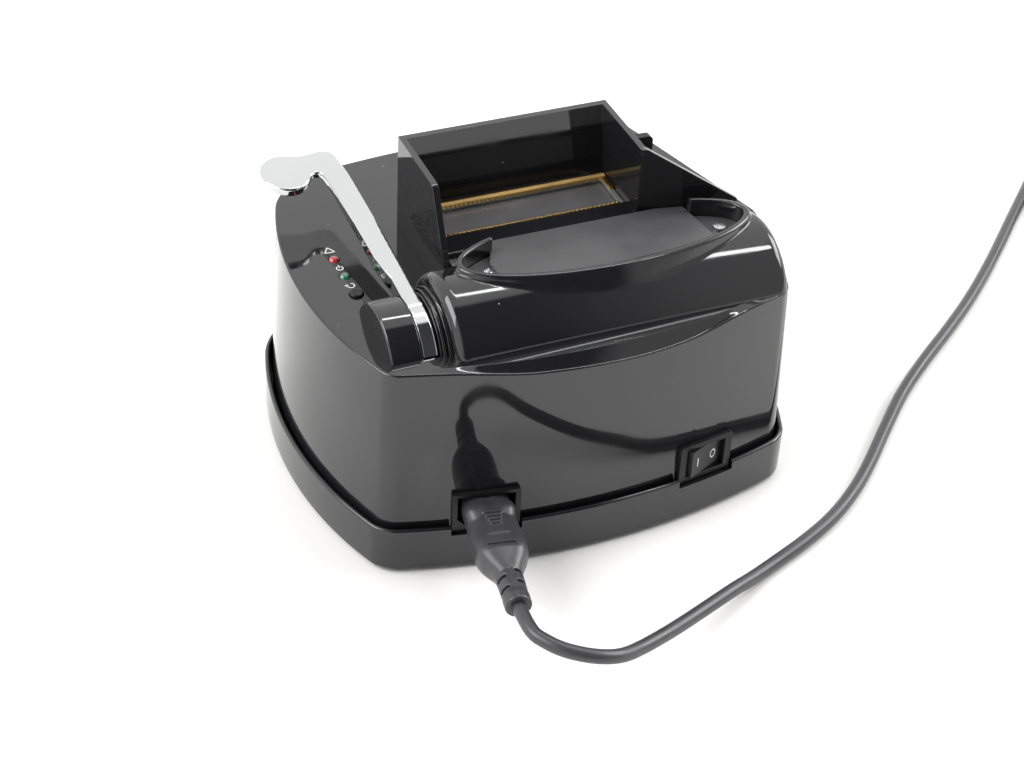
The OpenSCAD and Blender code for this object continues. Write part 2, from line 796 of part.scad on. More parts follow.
module drive_pinion() {
  color([0.9, 0.9, 0.88]) {
    translate([drive_x, -18.5, drive_z]) rotate([90, 0, 0]) linear_extrude(6) gear_2d(drive_teeth);
    bar_y(drive_x, -18.5, -15.4, drive_z, 5);
    bar_y(drive_x, -15.4, -2, drive_z, 3);
  }
}

module gearbox() {
  color([0.45, 0.46, 0.48])
    difference() {
      union() {
        block([-45, -15, 28], [3, 15, 72]);
        for (x = [-41, -1], z = [32, 68])
          bar_y(x, -15.3, -14, z, 2.6);
      }
      bar_y(drive_x, -16, 0, drive_z, 3.05);
    }
}

module motor() {
  color([0.7, 0.71, 0.72]) {
    bar_y(drive_x, 15, 58, 50, 17);
    bar_y(drive_x, 58, 61, 50, 6);
    for (x = [-9, 9])
      translate([drive_x + x, 58, 50]) slab(0, 5) square([3, 6], center = true);
  }
}

module motor_cradle() {
  color([0.6, 0.6, 0.58])
    difference() {
      union() {
        block([-45, -15, tray_floor], [3, 15, 28]);
        block([-40, 22, tray_floor], [-2, 50, 46]);
      }
      bar_y(drive_x, 10, 70, 50, 17);
      block([-40, -10, tray_floor + 3], [-2, 16, 25]);
      block([-30, 20, tray_floor + 3], [-12, 52, 26]);
    }
}

// one switch body with its spring blade, lying along X
module limit_switch() {
  block([0, 0, 0], [20, 6.4, 10]);
  block([2, 2, 10], [18, 4.4, 10.6]);
  for (x = [2, 9, 16])
    block([x, 2, -3.5], [x + 1.6, 4.4, 0]);
}

module limit_switches() {
  color([0.12, 0.12, 0.13]) {
    translate([30, 67.3, 86.8]) rotate([90, 0, 0]) limit_switch();
    block([30, 66.6, 93.2], [50, 67.3, deck_under]);
    translate([-44.2, -6.4, deck_under - 2.5]) rotate([0, 90, 0]) limit_switch();
  }
}

// ---------- electrics ----------

module control_board() {
  color([0.05, 0.35, 0.15]) {
    block([75, -34, board_z], [97, 23, board_z + board_t]);
    block([78, -32, board_z - 3], [94, -24, board_z]);
  }
  color([0.6, 0.6, 0.58])
    for (y = [-30, 20])
      translate([93, y, board_z + board_t]) cylinder(h = deck_under - board_z - board_t, r = 2.5);
}

module tact_switch() {
  color([0.15, 0.15, 0.16]) {
    translate([reset_xy[0] - 3, reset_xy[1] - 3, board_z + board_t]) cube([6, 6, 3.5]);
    translate([reset_xy[0], reset_xy[1], board_z + board_t + 3.5]) cylinder(h = 0.9, r = 1.7);
  }
}

module led(xy) {
  translate([xy[0], xy[1], board_z + board_t]) {
    cylinder(h = 11.6, r = 2.5);
    translate([0, 0, 11.6])
      intersection() {
        sphere(r = 2.5);
        translate([0, 0, 2.5]) cube(5, center = true);
      }
  }
}

module led_red() {
  color([0.6, 0.05, 0.06]) led(led_red_xy);
}

module led_green() {
  color([0.05, 0.35, 0.2]) led(led_green_xy);
}

module reset_button() {
  color([0.03, 0.03, 0.03])
    translate([reset_xy[0], reset_xy[1], 0]) {
      translate([0, 0, 91.3]) cylinder(h = 8.3, r = 2.95);
      translate([0, 0, 93.6]) cylinder(h = 1.6, r = 4.2);
    }
}

module power_board() {
  color([0.05, 0.35, 0.15]) block([6, -42, 8], [66, 50, 9.6]);
  color([0.6, 0.6, 0.58])
    for (x = [10, 62], y = [-38, 46])
      translate([x, y, tray_floor]) cylinder(h = 4, r = 3);
}

module transformer() {
  color([0.75, 0.65, 0.2]) {
    block([14, -34, 9.6], [54, 0, 13]);
    block([19, -29, 13], [49, -5, 38]);
    block([14, -34, 38], [54, 0, 41]);
  }
  color([0.3, 0.3, 0.32])
    for (x = [14, 49])
      block([x, -25, 13], [x + 5, -9, 38]);
}

module power_parts() {
  color([0.1, 0.12, 0.3])
    for (p = [[20, 12], [38, 12]])
      translate([p[0], p[1], 9.6]) cylinder(h = 22, r = 7);
  color([0.7, 0.71, 0.72])
    block([12, 26, 9.6], [52, 29, 34]);
  color([0.1, 0.1, 0.1])
    for (x = [16, 32])
      block([x, 29, 14], [x + 10, 33.5, 30]);
}

module inlet_body() {
  color([0.04, 0.04, 0.04])
    at_rear(1)
      difference() {
        union() {
          slab(-0.2, 1.8) rounded_rect(inlet_size[0], inlet_size[1], 1);
          slab(-19, 0) square([inlet_size[0] - 2.8, inlet_size[1] - 2.4], center = true);
        }
        slab(-15, 3) inlet_shape(0);
        for (p = pin_places)
          translate([p[0], 0, p[1]]) slab(-20, -10) square([2.4, 4.4], center = true);
      }
}

// mouth of the inlet: a rectangle with its two lower corners cut
module inlet_shape(shrink) {
  w = inlet_hole[0] / 2 - shrink;
  h = inlet_hole[1] / 2 - shrink;
  polygon([[-w, h], [w, h], [w, -h + 4.5], [w - 4.5, -h], [-w + 4.5, -h], [-w, -h + 4.5]]);
}

pin_places = [[-7, 2], [7, 2], [0, -2]];

module inlet_pins() {
  color("silver")
    at_rear(1)
      for (p = pin_places)
        translate([p[0], 0, p[1]]) slab(-24, -2) square([2, 4], center = true);
}

module switch_body() {
  color([0.05, 0.05, 0.05])
    at_rear(-1)
      difference() {
        union() {
          slab(-0.2, 1.8) rounded_rect(switch_size[0], switch_size[1], 1);
          slab(-16, 0) square([switch_size[0] - 2.8, switch_size[1] - 2.8], center = true);
          for (x = [-6, 0, 6])
            translate([x, 0, 0]) slab(-23, -16) square([0.8, 4.8], center = true);
        }
        slab(-9, 3) square([rocker_size[0] + 0.6, rocker_size[1] + 0.6], center = true);
      }
}

// tipped so that its -X half stands in and its +X half stands out
module switch_rocker() {
  w = rocker_size[0] / 2;
  color([0.06, 0.06, 0.065])
    at_rear(-1)
      translate([0, 0, -rocker_size[1] / 2]) linear_extrude(rocker_size[1])
        intersection() {
          polygon([[-w, -1], [-w, -0.4], [0, 1.4], [w, 4], [w, -1], [3, -5.5], [-3, -5.5]]);
          translate([0, -1]) circle(r = w);
        }
}

// ---------- mains lead ----------

module plug_section(w, h, c) {
  polygon([[-w / 2 + c, -h / 2], [w / 2 - c, -h / 2], [w / 2, -h / 2 + c], [w / 2, h / 2 - c],
           [w / 2 - c, h / 2], [-w / 2 + c, h / 2], [-w / 2, h / 2 - c], [-w / 2, -h / 2 + c]]);
}

module plug_body() {
  color([0.1, 0.1, 0.105])
    at_rear(1)
      difference() {
        union() {
          slab(-14, 2) inlet_shape(0.35);
          slab(2, 22) plug_section(21.5, 15, 3);
          hull() {
            slab(22, 22.5) plug_section(21.5, 15, 3);
            slab(27, 33) plug_section(22.5, 16, 4);
            slab(39.5, 40) plug_section(13, 12.4, 4);
          }
        }
        for (p = pin_places)
          translate([p[0], 0, p[1]]) slab(-15, -1) square([2.6, 4.6], center = true);
      }
}

module plug_relief() {
  color([0.1, 0.1, 0.105])
    at_rear(1)
      difference() {
        translate([0, 40, 0]) rotate([-90, 0, 0]) cylinder(h = plug_reach + 1.8 - 40, r1 = 6.2, r2 = 5.5);
        for (i = [0:2], s = [-1, 1])
          translate([0, 43.5 + i * 5 + (s > 0 ? 0 : 2.4), 0])
            slab(0, 1.6) translate([s * 5.6, 0]) square([5, 20], center = true);
      }
}

// ring of points round a route point, square to the run through it
function unit(v) = v / norm(v);
function heading(pts, i) = unit(pts[min(i + 1, len(pts) - 1)] - pts[max(i - 1, 0)]);
function ring_at(p, d, r, sides) =
  let (s = unit(cross([0, 0, 1], d)), u = cross(d, s))
  [for (k = [0:sides - 1]) p + r * (cos(k * 360 / sides) * s + sin(k * 360 / sides) * u)];

// smooth run between the route's own points
function curve(p, i, t) =
  let (a = p[max(i - 1, 0)], b = p[i], c = p[i + 1], d = p[min(i + 2, len(p) - 1)])
  0.5 * (2 * b + (c - a) * t + (2 * a - 5 * b + 4 * c - d) * t * t + (3 * b - a - 3 * c + d) * t * t * t);
function smooth(p, n) =
  concat([for (i = [0:len(p) - 2], k = [0:n - 1]) curve(p, i, k / n)], [p[len(p) - 1]]);

module sweep(pts, r, sides) {
  n = len(pts);
  rings = [for (i = [0:n - 1]) each ring_at(pts[i], heading(pts, i), r, sides)];
  sides_f = [for (i = [0:n - 2], k = [0:sides - 1])
    [i * sides + k, i * sides + (k + 1) % sides, (i + 1) * sides + (k + 1) % sides, (i + 1) * sides + k]];
  start_f = [[for (k = [sides - 1:-1:0]) k]];
  end_f = [[for (k = [0:sides - 1]) (n - 1) * sides + k]];
  polyhedron(points = rings, faces = concat(start_f, sides_f, end_f), convexity = 6);
}

module lead_run() {
  color([0.1, 0.1, 0.105]) sweep(smooth(concat([relief_end], route), 2), lead_r, 10);
}

module lead_coil() {
  color([0.1, 0.1, 0.105])
    translate([coil_at[0], coil_at[1], 0]) rotate_extrude()
      translate([coil_r, 1.5 * lead_d]) rounded_rect(2 * lead_d + 0.4, 3 * lead_d, lead_r);
}

module lead_tail() {
  color([0.1, 0.1, 0.105]) sweep(smooth(tail_route, 2), lead_r, 10);
}

module lead_tie() {
  color([0.05, 0.05, 0.05])
    translate([coil_at[0], coil_at[1], 0])
      rotate(coil_turn)
        translate([coil_r, 0, 1.5 * lead_d]) rotate([90, 0, 0]) translate([0, 0, -3]) linear_extrude(6)
          difference() {
            rounded_rect(2 * lead_d + 3, 3 * lead_d - 0.2, lead_r);
            rounded_rect(2 * lead_d + 0.8, 3 * lead_d - 1, lead_r);
          }
}

// far plug, lying on its side along +Y: relief, grip and face
module mains_plug() {
  color([0.1, 0.1, 0.105])
    translate(plug_at) {
      rotate([-90, 0, 0]) cylinder(h = 24, r1 = 5.2, r2 = 6.4);
      hull() {
        slab(22, 23) rounded_rect(15, 14, 4);
        slab(36, 52) rounded_rect(27, 26, 5);
      }
      slab(52, 58) rounded_rect(25, 24, 5);
    }
}

// two flat blades and a round earth pin
module mains_pins() {
  color("silver")
    translate(plug_at) {
      for (x = [-6.35, 6.35])
        translate([x, 0, -3]) slab(58, 75) square([1.5, 6.3], center = true);
      bar_y(0, 58, 78, 6.5, 2.4);
    }
}

base_tray();
feet();
base_screws();
case_shell();
hopper();
drum_cover();
drum_collar();
hub_cap();
chute_plate();
chute_screws();
chamber_block();
front_blade();
rear_blade();
shaft_supports();
shaft_bushes();
lever();
lever_shaft();
press_pinions();
switch_cam();
press_jaw();
spoon();
carriage();
guide_rod();
rod_brackets();
nozzle();
clamp_bracket();
clamp_pin();
tube_clamp();
drive_pinion();
gearbox();
motor();
motor_cradle();
limit_switches();
control_board();
tact_switch();
led_red();
led_green();
reset_button();
power_board();
transformer();
power_parts();
inlet_body();
inlet_pins();
switch_body();
switch_rocker();
plug_body();
plug_relief();
lead_run();
lead_coil();
lead_tail();
lead_tie();
mains_plug();
mains_pins();
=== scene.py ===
import json
import math

import bmesh
import bpy
import numpy as np
from mathutils import Matrix, Vector


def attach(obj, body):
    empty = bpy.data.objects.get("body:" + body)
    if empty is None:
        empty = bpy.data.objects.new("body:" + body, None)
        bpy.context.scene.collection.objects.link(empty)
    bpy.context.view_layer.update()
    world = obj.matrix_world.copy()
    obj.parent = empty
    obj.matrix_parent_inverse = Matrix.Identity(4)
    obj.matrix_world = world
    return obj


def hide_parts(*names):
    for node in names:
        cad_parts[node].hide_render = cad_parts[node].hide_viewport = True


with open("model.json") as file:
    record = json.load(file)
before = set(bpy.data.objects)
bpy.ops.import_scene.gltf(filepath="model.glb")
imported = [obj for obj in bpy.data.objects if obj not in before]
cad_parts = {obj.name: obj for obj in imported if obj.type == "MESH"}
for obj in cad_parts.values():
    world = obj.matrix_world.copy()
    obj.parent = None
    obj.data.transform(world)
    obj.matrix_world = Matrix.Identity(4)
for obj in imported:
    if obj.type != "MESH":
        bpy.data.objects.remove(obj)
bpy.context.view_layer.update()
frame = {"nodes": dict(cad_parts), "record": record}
NODES = frame["nodes"]
MM = 0.001
scene = bpy.context.scene

# ---------------------------------------------------------------- camera
camera = bpy.data.objects.new("camera", bpy.data.cameras.new("camera"))
scene.collection.objects.link(camera)
camera.data.lens = 77.34
camera.data.sensor_width = 36.0
camera.data.clip_start = 0.05
camera.data.clip_end = 20.0
camera.matrix_world = Matrix((
    (-0.9232, -0.2034, 0.3261, 0.3250),
    (0.3819, -0.5788, 0.7204, 0.7103),
    (0.0422, 0.7897, 0.6121, 0.6240),
    (0.0, 0.0, 0.0, 1.0),
))
scene.camera = camera


# ---------------------------------------------------------------- materials
def node_of(tree, kind, **sockets):
    n = tree.nodes.new(kind)
    for key, value in sockets.items():
        n.inputs[key.replace("_", " ")].default_value = value
    return n


def new_material(name, color, rough, metal=0.0, coat=0.0):
    m = bpy.data.materials.new(name)
    m.use_nodes = True
    m.diffuse_color = (*color, 1.0)
    shader = m.node_tree.nodes["Principled BSDF"]
    shader.inputs["Base Color"].default_value = (*color, 1.0)
    shader.inputs["Roughness"].default_value = rough
    shader.inputs["Metallic"].default_value = metal
    shader.inputs["Coat Weight"].default_value = coat
    shader.inputs["Coat Roughness"].default_value = 0.04
    return m, m.node_tree, shader


def ramp(tree, source, stops):
    r = tree.nodes.new("ShaderNodeValToRGB")
    r.color_ramp.elements[0].position = stops[0][0]
    r.color_ramp.elements[0].color = (*stops[0][1], 1.0)
    r.color_ramp.elements[1].position = stops[1][0]
    r.color_ramp.elements[1].color = (*stops[1][1], 1.0)
    for at, col in stops[2:]:
        e = r.color_ramp.elements.new(at)
        e.color = (*col, 1.0)
    tree.links.new(source, r.inputs["Fac"])
    return r.outputs["Color"]


def grey(v):
    return (v, v, v)


def noise(tree, scale, detail=3.0, stretch=None):
    coord = tree.nodes.new("ShaderNodeTexCoord").outputs["Object"]
    if stretch:
        mapping = tree.nodes.new("ShaderNodeMapping")
        mapping.inputs["Scale"].default_value = stretch
        tree.links.new(coord, mapping.inputs["Vector"])
        coord = mapping.outputs["Vector"]
    n = node_of(tree, "ShaderNodeTexNoise", Scale=scale, Detail=detail)
    tree.links.new(coord, n.inputs["Vector"])
    return n.outputs["Fac"]


def bump(tree, shader, height, strength, depth):
    b = node_of(tree, "ShaderNodeBump", Strength=strength, Distance=depth)
    tree.links.new(height, b.inputs["Height"])
    tree.links.new(b.outputs["Normal"], shader.inputs["Normal"])


def textured(name, color, rough, metal=0.0, coat=0.0, grain=900.0, depth=0.00002,
             spread=0.06, tint=0.12, stretch=None):
    """Plain moulded or metal surface: fine grain, drifting roughness and slight colour drift."""
    m, tree, shader = new_material(name, color, rough, metal, coat)
    slow = noise(tree, 60.0, 4.0, stretch)
    low, high = max(rough - spread, 0.02), rough + spread
    tree.links.new(ramp(tree, slow, [(0.3, grey(low)), (0.7, grey(high))]), shader.inputs["Roughness"])
    dark = tuple(c * (1.0 - tint) for c in color)
    light = tuple(min(c * (1.0 + tint), 1.0) for c in color)
    tree.links.new(ramp(tree, slow, [(0.35, dark), (0.65, light)]), shader.inputs["Base Color"])
    bump(tree, shader, noise(tree, grain, 2.0, stretch), 0.35, depth)
    return m


def gloss(name, color, dust=0.0):
    """Polished black moulding: mirror-like, slightly wavy, with faint smears and a few dust specks."""
    m, tree, shader = new_material(name, color, 0.05)
    shader.inputs["IOR"].default_value = 1.62
    smear = noise(tree, 38.0, 5.0)
    tree.links.new(ramp(tree, smear, [(0.42, grey(0.035)), (0.72, grey(0.09))]), shader.inputs["Roughness"])
    bump(tree, shader, noise(tree, 22.0, 1.0), 0.10, 0.0004)
    if dust:
        coord = tree.nodes.new("ShaderNodeTexCoord").outputs["Object"]
        cells = node_of(tree, "ShaderNodeTexVoronoi", Scale=260.0, Randomness=1.0)
        tree.links.new(coord, cells.inputs["Vector"])
        size = tree.nodes.new("ShaderNodeSeparateColor")
        tree.links.new(cells.outputs["Color"], size.inputs["Color"])
        few = ramp(tree, size.outputs["Red"], [(0.955, grey(0.0)), (0.99, grey(0.075))])
        speck = tree.nodes.new("ShaderNodeMath")
        speck.operation = "LESS_THAN"
        tree.links.new(cells.outputs["Distance"], speck.inputs[0])
        tree.links.new(few, speck.inputs[1])
        mix = tree.nodes.new("ShaderNodeMix")
        mix.data_type = "RGBA"
        mix.inputs["A"].default_value = (*color, 1.0)
        mix.inputs["B"].default_value = (dust, dust, dust, 1.0)
        tree.links.new(speck.outputs["Value"], mix.inputs["Factor"])
        tree.links.new(mix.outputs["Result"], shader.inputs["Base Color"])
    return m


def lens(name, color):
    m, tree, shader = new_material(name, color, 0.08, coat=1.0)
    # painted glow: the lens colour is lifted to 2.6 times plus a little where it faces the camera, and falls
    # back to its own colour towards its edge
    glow_facing = tree.nodes.new("ShaderNodeLayerWeight")
    glow_facing.inputs["Blend"].default_value = 0.45
    inner = tuple(min(c * 2.6 + 0.01, 1.0) for c in color)
    tree.links.new(ramp(tree, glow_facing.outputs["Facing"], [(0.1, inner), (0.8, color)]), shader.inputs["Base Color"])
    return m


MATS = {
    "gloss_black": gloss("gloss_black", (0.010, 0.010, 0.011), dust=0.35),
    "satin_black": textured("satin_black", (0.010, 0.010, 0.0105), 0.34, grain=1500.0, depth=0.00003),
    "satin_grey": textured("satin_grey", (0.20, 0.20, 0.21), 0.42, grain=1200.0, depth=0.00004),
    "nylon": textured("nylon", (0.78, 0.77, 0.72), 0.38, grain=900.0),
    "cord_black": textured("cord_black", (0.040, 0.040, 0.043), 0.34, grain=2600.0, depth=0.00003, tint=0.1),
    "rubber_black": textured("rubber_black", (0.022, 0.022, 0.022), 0.75, grain=2000.0, depth=0.00008),
    "chrome": textured("chrome", (0.56, 0.566, 0.564), 0.09, metal=1.0, grain=300.0, depth=0.000004,
                       spread=0.03, tint=0.01),
    "steel": textured("steel", (0.56, 0.56, 0.57), 0.26, metal=1.0, grain=1400.0, stretch=(0.06, 1.0, 1.0)),
    "alloy": textured("alloy", (0.62, 0.62, 0.61), 0.45, metal=1.0, grain=700.0, depth=0.00006),
    "brass": textured("brass", (0.82, 0.56, 0.20), 0.22, metal=1.0, grain=1200.0, stretch=(0.1, 1.0, 1.0)),
    "board_green": textured("board_green", (0.03, 0.19, 0.08), 0.30, coat=0.4, grain=500.0),
    "copper_coil": textured("copper_coil", (0.50, 0.34, 0.10), 0.45, grain=900.0, stretch=(1.0, 1.0, 6.0)),
    "lens_red": lens("lens_red", (0.16, 0.006, 0.010)),
    "lens_green": lens("lens_green", (0.004, 0.055, 0.026)),
    "mark_white": textured("mark_white", (0.80, 0.80, 0.78), 0.5, grain=900.0),
}


MATS["satin_black"].node_tree.nodes["Principled BSDF"].inputs["Specular IOR Level"].default_value = 0.3

# ---------------------------------------------------------------- mesh helpers (all in millimetres)
def add_mesh(name, verts, faces, slot, body, sharp=35.0, weighted=True, replaces=()):
    me = bpy.data.meshes.new(name)
    me.from_pydata([tuple(float(c) * MM for c in v) for v in verts], [],
                   [tuple(int(i) for i in f) for f in faces])
    me.validate()
    me.polygons.foreach_set("use_smooth", [True] * len(me.polygons))
    if sharp:
        me.set_sharp_from_angle(angle=math.radians(sharp))
    ob = bpy.data.objects.new(name, me)
    scene.collection.objects.link(ob)
    return dress(ob, slot, body, weighted, replaces)


def dress(ob, slot, body, weighted=True, replaces=()):
    ob.data.materials.clear()
    ob.data.materials.append(MATS[slot])
    if weighted:
        w = ob.modifiers.new("flat_faces", "WEIGHTED_NORMAL")
        w.keep_sharp = True
    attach(ob, body)
    if replaces:
        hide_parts(*replaces)
    return ob


def smin(a, b, k):
    h = np.clip(0.5 + 0.5 * (b - a) / k, 0.0, 1.0)
    return b * (1 - h) + a * h - k * h * (1 - h)


def smax(a, b, k):
    return -smin(-a, -b, k)


def round_and(a, b, r):
    """Intersection of two distance fields with a rounded edge of radius r."""
    return np.minimum(np.maximum(a, b), -r) + np.hypot(np.maximum(a + r, 0), np.maximum(b + r, 0))


def slab(v, lo, hi):
    return np.maximum(lo - v, v - hi)


def box_field(x, y, z, lo, hi, r=0.0):
    q = [slab(v, a + r, b - r) for v, a, b in zip((x, y, z), lo, hi)]
    outside = np.sqrt(sum(np.maximum(c, 0) ** 2 for c in q))
    return outside + np.minimum(np.maximum(np.maximum(q[0], q[1]), q[2]), 0) - r


def rod_field(along, d, lo, hi, radius, r=0.0):
    return round_and(slab(along, lo, hi), d - radius, max(r, 1e-6))


def ellipse_field(x, y, a, b):
    e = np.sqrt((x / a) ** 2 + (y / b) ** 2) + 1e-9
    grad = np.sqrt((x / a ** 2) ** 2 + (y / b ** 2) ** 2) / e + 1e-9
    return (e - 1.0) / grad


def polygon_field(x, y, pts):
    d = np.full(np.shape(x), 1e9)
    inside = np.ones(np.shape(x))
    n = len(pts)
    for i in range(n):
        (ax, ay), (bx, by) = pts[i], pts[i - 1]
        ex, ey = bx - ax, by - ay
        wx, wy = x - ax, y - ay
        t = np.clip((wx * ex + wy * ey) / (ex * ex + ey * ey), 0, 1)
        d = np.minimum(d, (wx - ex * t) ** 2 + (wy - ey * t) ** 2)
        c1, c2, c3 = y >= ay, y < by, ex * wy > ey * wx
        inside = np.where((c1 & c2 & c3) | (~c1 & ~c2 & ~c3), -inside, inside)
    return inside * np.sqrt(d)


def net(field, lo, hi, step):
    """Closed surface of field(x, y, z) = 0: one vertex a cell, pulled onto the surface."""
    axes = [np.arange(a - step, b + 2 * step, step) for a, b in zip(lo, hi)]
    gx, gy, gz = np.meshgrid(*axes, indexing="ij")
    val = field(gx, gy, gz)
    neg = val < 0
    shape = np.array(neg.shape) - 1
    acc = np.zeros((*shape, 3))
    cnt = np.zeros(shape)
    origin = np.array([a[0] for a in axes])
    for ax in range(3):
        sl0 = [slice(None)] * 3
        sl1 = [slice(None)] * 3
        sl0[ax], sl1[ax] = slice(0, -1), slice(1, None)
        v0, v1 = val[tuple(sl0)], val[tuple(sl1)]
        cross = (v0 < 0) != (v1 < 0)
        t = np.where(cross, v0 / np.where(cross, v0 - v1, 1.0), 0.0)
        idx = np.argwhere(cross)
        if not len(idx):
            continue
        p = idx.astype(float)
        p[:, ax] += t[cross]
        others = [a for a in range(3) if a != ax]
        for da in (0, -1):
            for db in (0, -1):
                c = idx.copy()
                c[:, others[0]] += da
                c[:, others[1]] += db
                ok = np.all((c >= 0) & (c < shape), axis=1)
                np.add.at(acc, tuple(c[ok].T), p[ok])
                np.add.at(cnt, tuple(c[ok].T), 1)
    cells = np.argwhere(cnt > 0)
    number = -np.ones(shape, int)
    number[tuple(cells.T)] = np.arange(len(cells))
    verts = acc[tuple(cells.T)] / cnt[tuple(cells.T)][:, None] * step + origin
    faces = []
    for ax in range(3):
        sl0 = [slice(None)] * 3
        sl1 = [slice(None)] * 3
        sl0[ax], sl1[ax] = slice(0, -1), slice(1, None)
        n0, n1 = neg[tuple(sl0)], neg[tuple(sl1)]
        b, c = (ax + 1) % 3, (ax + 2) % 3
        for into, out in ((True, False), (False, True)):
            idx = np.argwhere((n0 == into) & (n1 == out))
            idx = idx[np.all(idx[:, [b, c]] > 0, axis=1)]
            idx = idx[np.all(idx < shape, axis=1)]
            quad = []
            for db, dc in ((-1, -1), (0, -1), (0, 0), (-1, 0)):
                q = idx.copy()
                q[:, b] += db
                q[:, c] += dc
                quad.append(number[tuple(q.T)])
            quad = np.stack(quad, axis=1)
            faces.append(quad if into else quad[:, ::-1])
    faces = np.concatenate(faces)
    faces = faces[np.all(faces >= 0, axis=1)]
    eps = 0.02
    for _ in range(4):
        x, y, z = verts.T
        f0 = field(x, y, z)
        g = np.stack([
            field(x + eps, y, z) - field(x - eps, y, z),
            field(x, y + eps, z) - field(x, y - eps, z),
            field(x, y, z + eps) - field(x, y, z - eps),
        ], axis=1) / (2 * eps)
        move = -f0[:, None] * g / np.maximum((g ** 2).sum(1), 0.05)[:, None]
        size = np.linalg.norm(move, axis=1, keepdims=True)
        verts = verts + move * np.minimum(1.0, 0.6 * step / np.maximum(size, 1e-9))
    return verts, faces


def lathe(profile, axis, at, n=96):
    """Closed turned shape: profile is (distance along axis, radius) points from end to end."""
    other = [a for a in range(3) if a != axis]
    verts, faces = [], []
    for d, r in profile:
        for k in range(n):
            a = 2 * math.pi * k / n
            p = [0.0, 0.0, 0.0]
            p[axis] = d + at[axis]
            p[other[0]] = at[other[0]] + r * math.cos(a)
            p[other[1]] = at[other[1]] + r * math.sin(a)
            verts.append(p)
    flip = axis == 1
    for i in range(len(profile) - 1):
        for k in range(n):
            q = [i * n + k, i * n + (k + 1) % n, (i + 1) * n + (k + 1) % n, (i + 1) * n + k]
            faces.append(q[::-1] if flip else q)
    first = list(range(n))[::-1]
    last = [(len(profile) - 1) * n + k for k in range(n)]
    faces.append(first[::-1] if flip else first)
    faces.append(last[::-1] if flip else last)
    return verts, faces


def arc_points(cx, cy, r, a0, a1, n=6):
    return [(cx + r * math.cos(math.radians(a0 + (a1 - a0) * i / n)),
             cy + r * math.sin(math.radians(a0 + (a1 - a0) * i / n))) for i in range(n + 1)]


def clip_below(ob, z):
    """Cuts away what lies under height z and closes the cut."""
    bm = bmesh.new()
    bm.from_mesh(ob.data)
    geom = bm.verts[:] + bm.edges[:] + bm.faces[:]
    cut = bmesh.ops.bisect_plane(bm, geom=geom, plane_co=(0, 0, z * MM), plane_no=(0, 0, -1), clear_outer=True)
    edges = [e for e in cut["geom_cut"] if isinstance(e, bmesh.types.BMEdge)]
    bmesh.ops.holes_fill(bm, edges=edges, sides=0)
    bmesh.ops.recalc_face_normals(bm, faces=bm.faces[:])
    bm.to_mesh(ob.data)
    bm.free()
    ob.data.polygons.foreach_set("use_smooth", [True] * len(ob.data.polygons))
    ob.data.set_sharp_from_angle(angle=math.radians(35))


def plain_box(lo, hi):
    v = [(x, y, z) for x in (lo[0], hi[0]) for y in (lo[1], hi[1]) for z in (lo[2], hi[2])]
    f = [(0, 1, 3, 2), (4, 6, 7, 5), (0, 4, 5, 1), (2, 3, 7, 6), (0, 2, 6, 4), (1, 5, 7, 3)]
    return v, f


def carve(ob, cutters):
    """Cuts closed shapes out of ob; each cutter is (verts, faces) in millimetres."""
    tools = []
    weighted = [m for m in ob.modifiers if m.type == "WEIGHTED_NORMAL"]
    for m in weighted:
        ob.modifiers.remove(m)
    for v, f in cutters:
        me = bpy.data.meshes.new("cutter")
        me.from_pydata([tuple(float(c) * MM for c in p) for p in v], [], [tuple(q) for q in f])
        tool = bpy.data.objects.new("cutter", me)
        scene.collection.objects.link(tool)
        mod = ob.modifiers.new("carve", "BOOLEAN")
        mod.operation = "DIFFERENCE"
        mod.solver = "EXACT"
        mod.object = tool
        tools.append(tool)
    bpy.context.view_layer.update()
    done = bpy.data.meshes.new_from_object(ob.evaluated_get(bpy.context.evaluated_depsgraph_get()))
    ob.modifiers.clear()
    ob.data = done
    for tool in tools:
        bpy.data.objects.remove(tool)
    done.polygons.foreach_set("use_smooth", [True] * len(done.polygons))
    done.set_sharp_from_angle(angle=math.radians(35))
    if weighted:
        w = ob.modifiers.new("flat_faces", "WEIGHTED_NORMAL")
        w.keep_sharp = True


def soften(node, slot, width=0.4, angle=35.0, segments=3):
    """Gives a carried-over solid its moulded edges and its finish."""
    ob = NODES[node]
    weld = ob.modifiers.new("weld", "WELD")
    weld.merge_threshold = 2e-6
    if width:
        bevel = ob.modifiers.new("edges", "BEVEL")
        bevel.width = width * MM
        bevel.segments = segments
        bevel.limit_method = "ANGLE"
        bevel.angle_limit = math.radians(angle)
        bevel.use_clamp_overlap = True
        bevel.harden_normals = False
        normal = ob.modifiers.new("flat_faces", "WEIGHTED_NORMAL")
        normal.keep_sharp = False
    for s in ob.material_slots:
        s.material = MATS[slot]
    if not ob.material_slots:
        ob.data.materials.append(MATS[slot])


def curve_points(pts, n):
    """Smooth run through the route's points, n steps between each two."""
    p = [np.array(q, float) for q in pts]
    out = []
    for i in range(len(p) - 1):
        a, b, c, d = p[max(i - 1, 0)], p[i], p[i + 1], p[min(i + 2, len(p) - 1)]
        for k in range(n):
            t = k / n
            out.append(0.5 * (2 * b + (c - a) * t + (2 * a - 5 * b + 4 * c - d) * t * t
                              + (3 * b - a - 3 * c + d) * t ** 3))
    out.append(p[-1])
    return out


# ---------------------------------------------------------------- places shared with the solid model
DECK = 98.3
SHAFT_Y, SHAFT_Z = 45.5, 90.0
TRAY_W, TRAY_D, TRAY_H = 220.0, 182.0, 22.9
SIDE_R, REAR_R, FRONT_R = 185.0, 308.0, 450.0
FOOT_INSET, DECK_INSET = 2.8, 6.3
FIT_R = REAR_R - (FOOT_INSET + (DECK_INSET - FOOT_INSET) * 29.0 / DECK)
FIT_TURN = math.asin(50.0 / FIT_R)
FIT_Y = TRAY_D / 2 - REAR_R + FIT_R * math.cos(FIT_TURN)
FIT_Z = 29.0


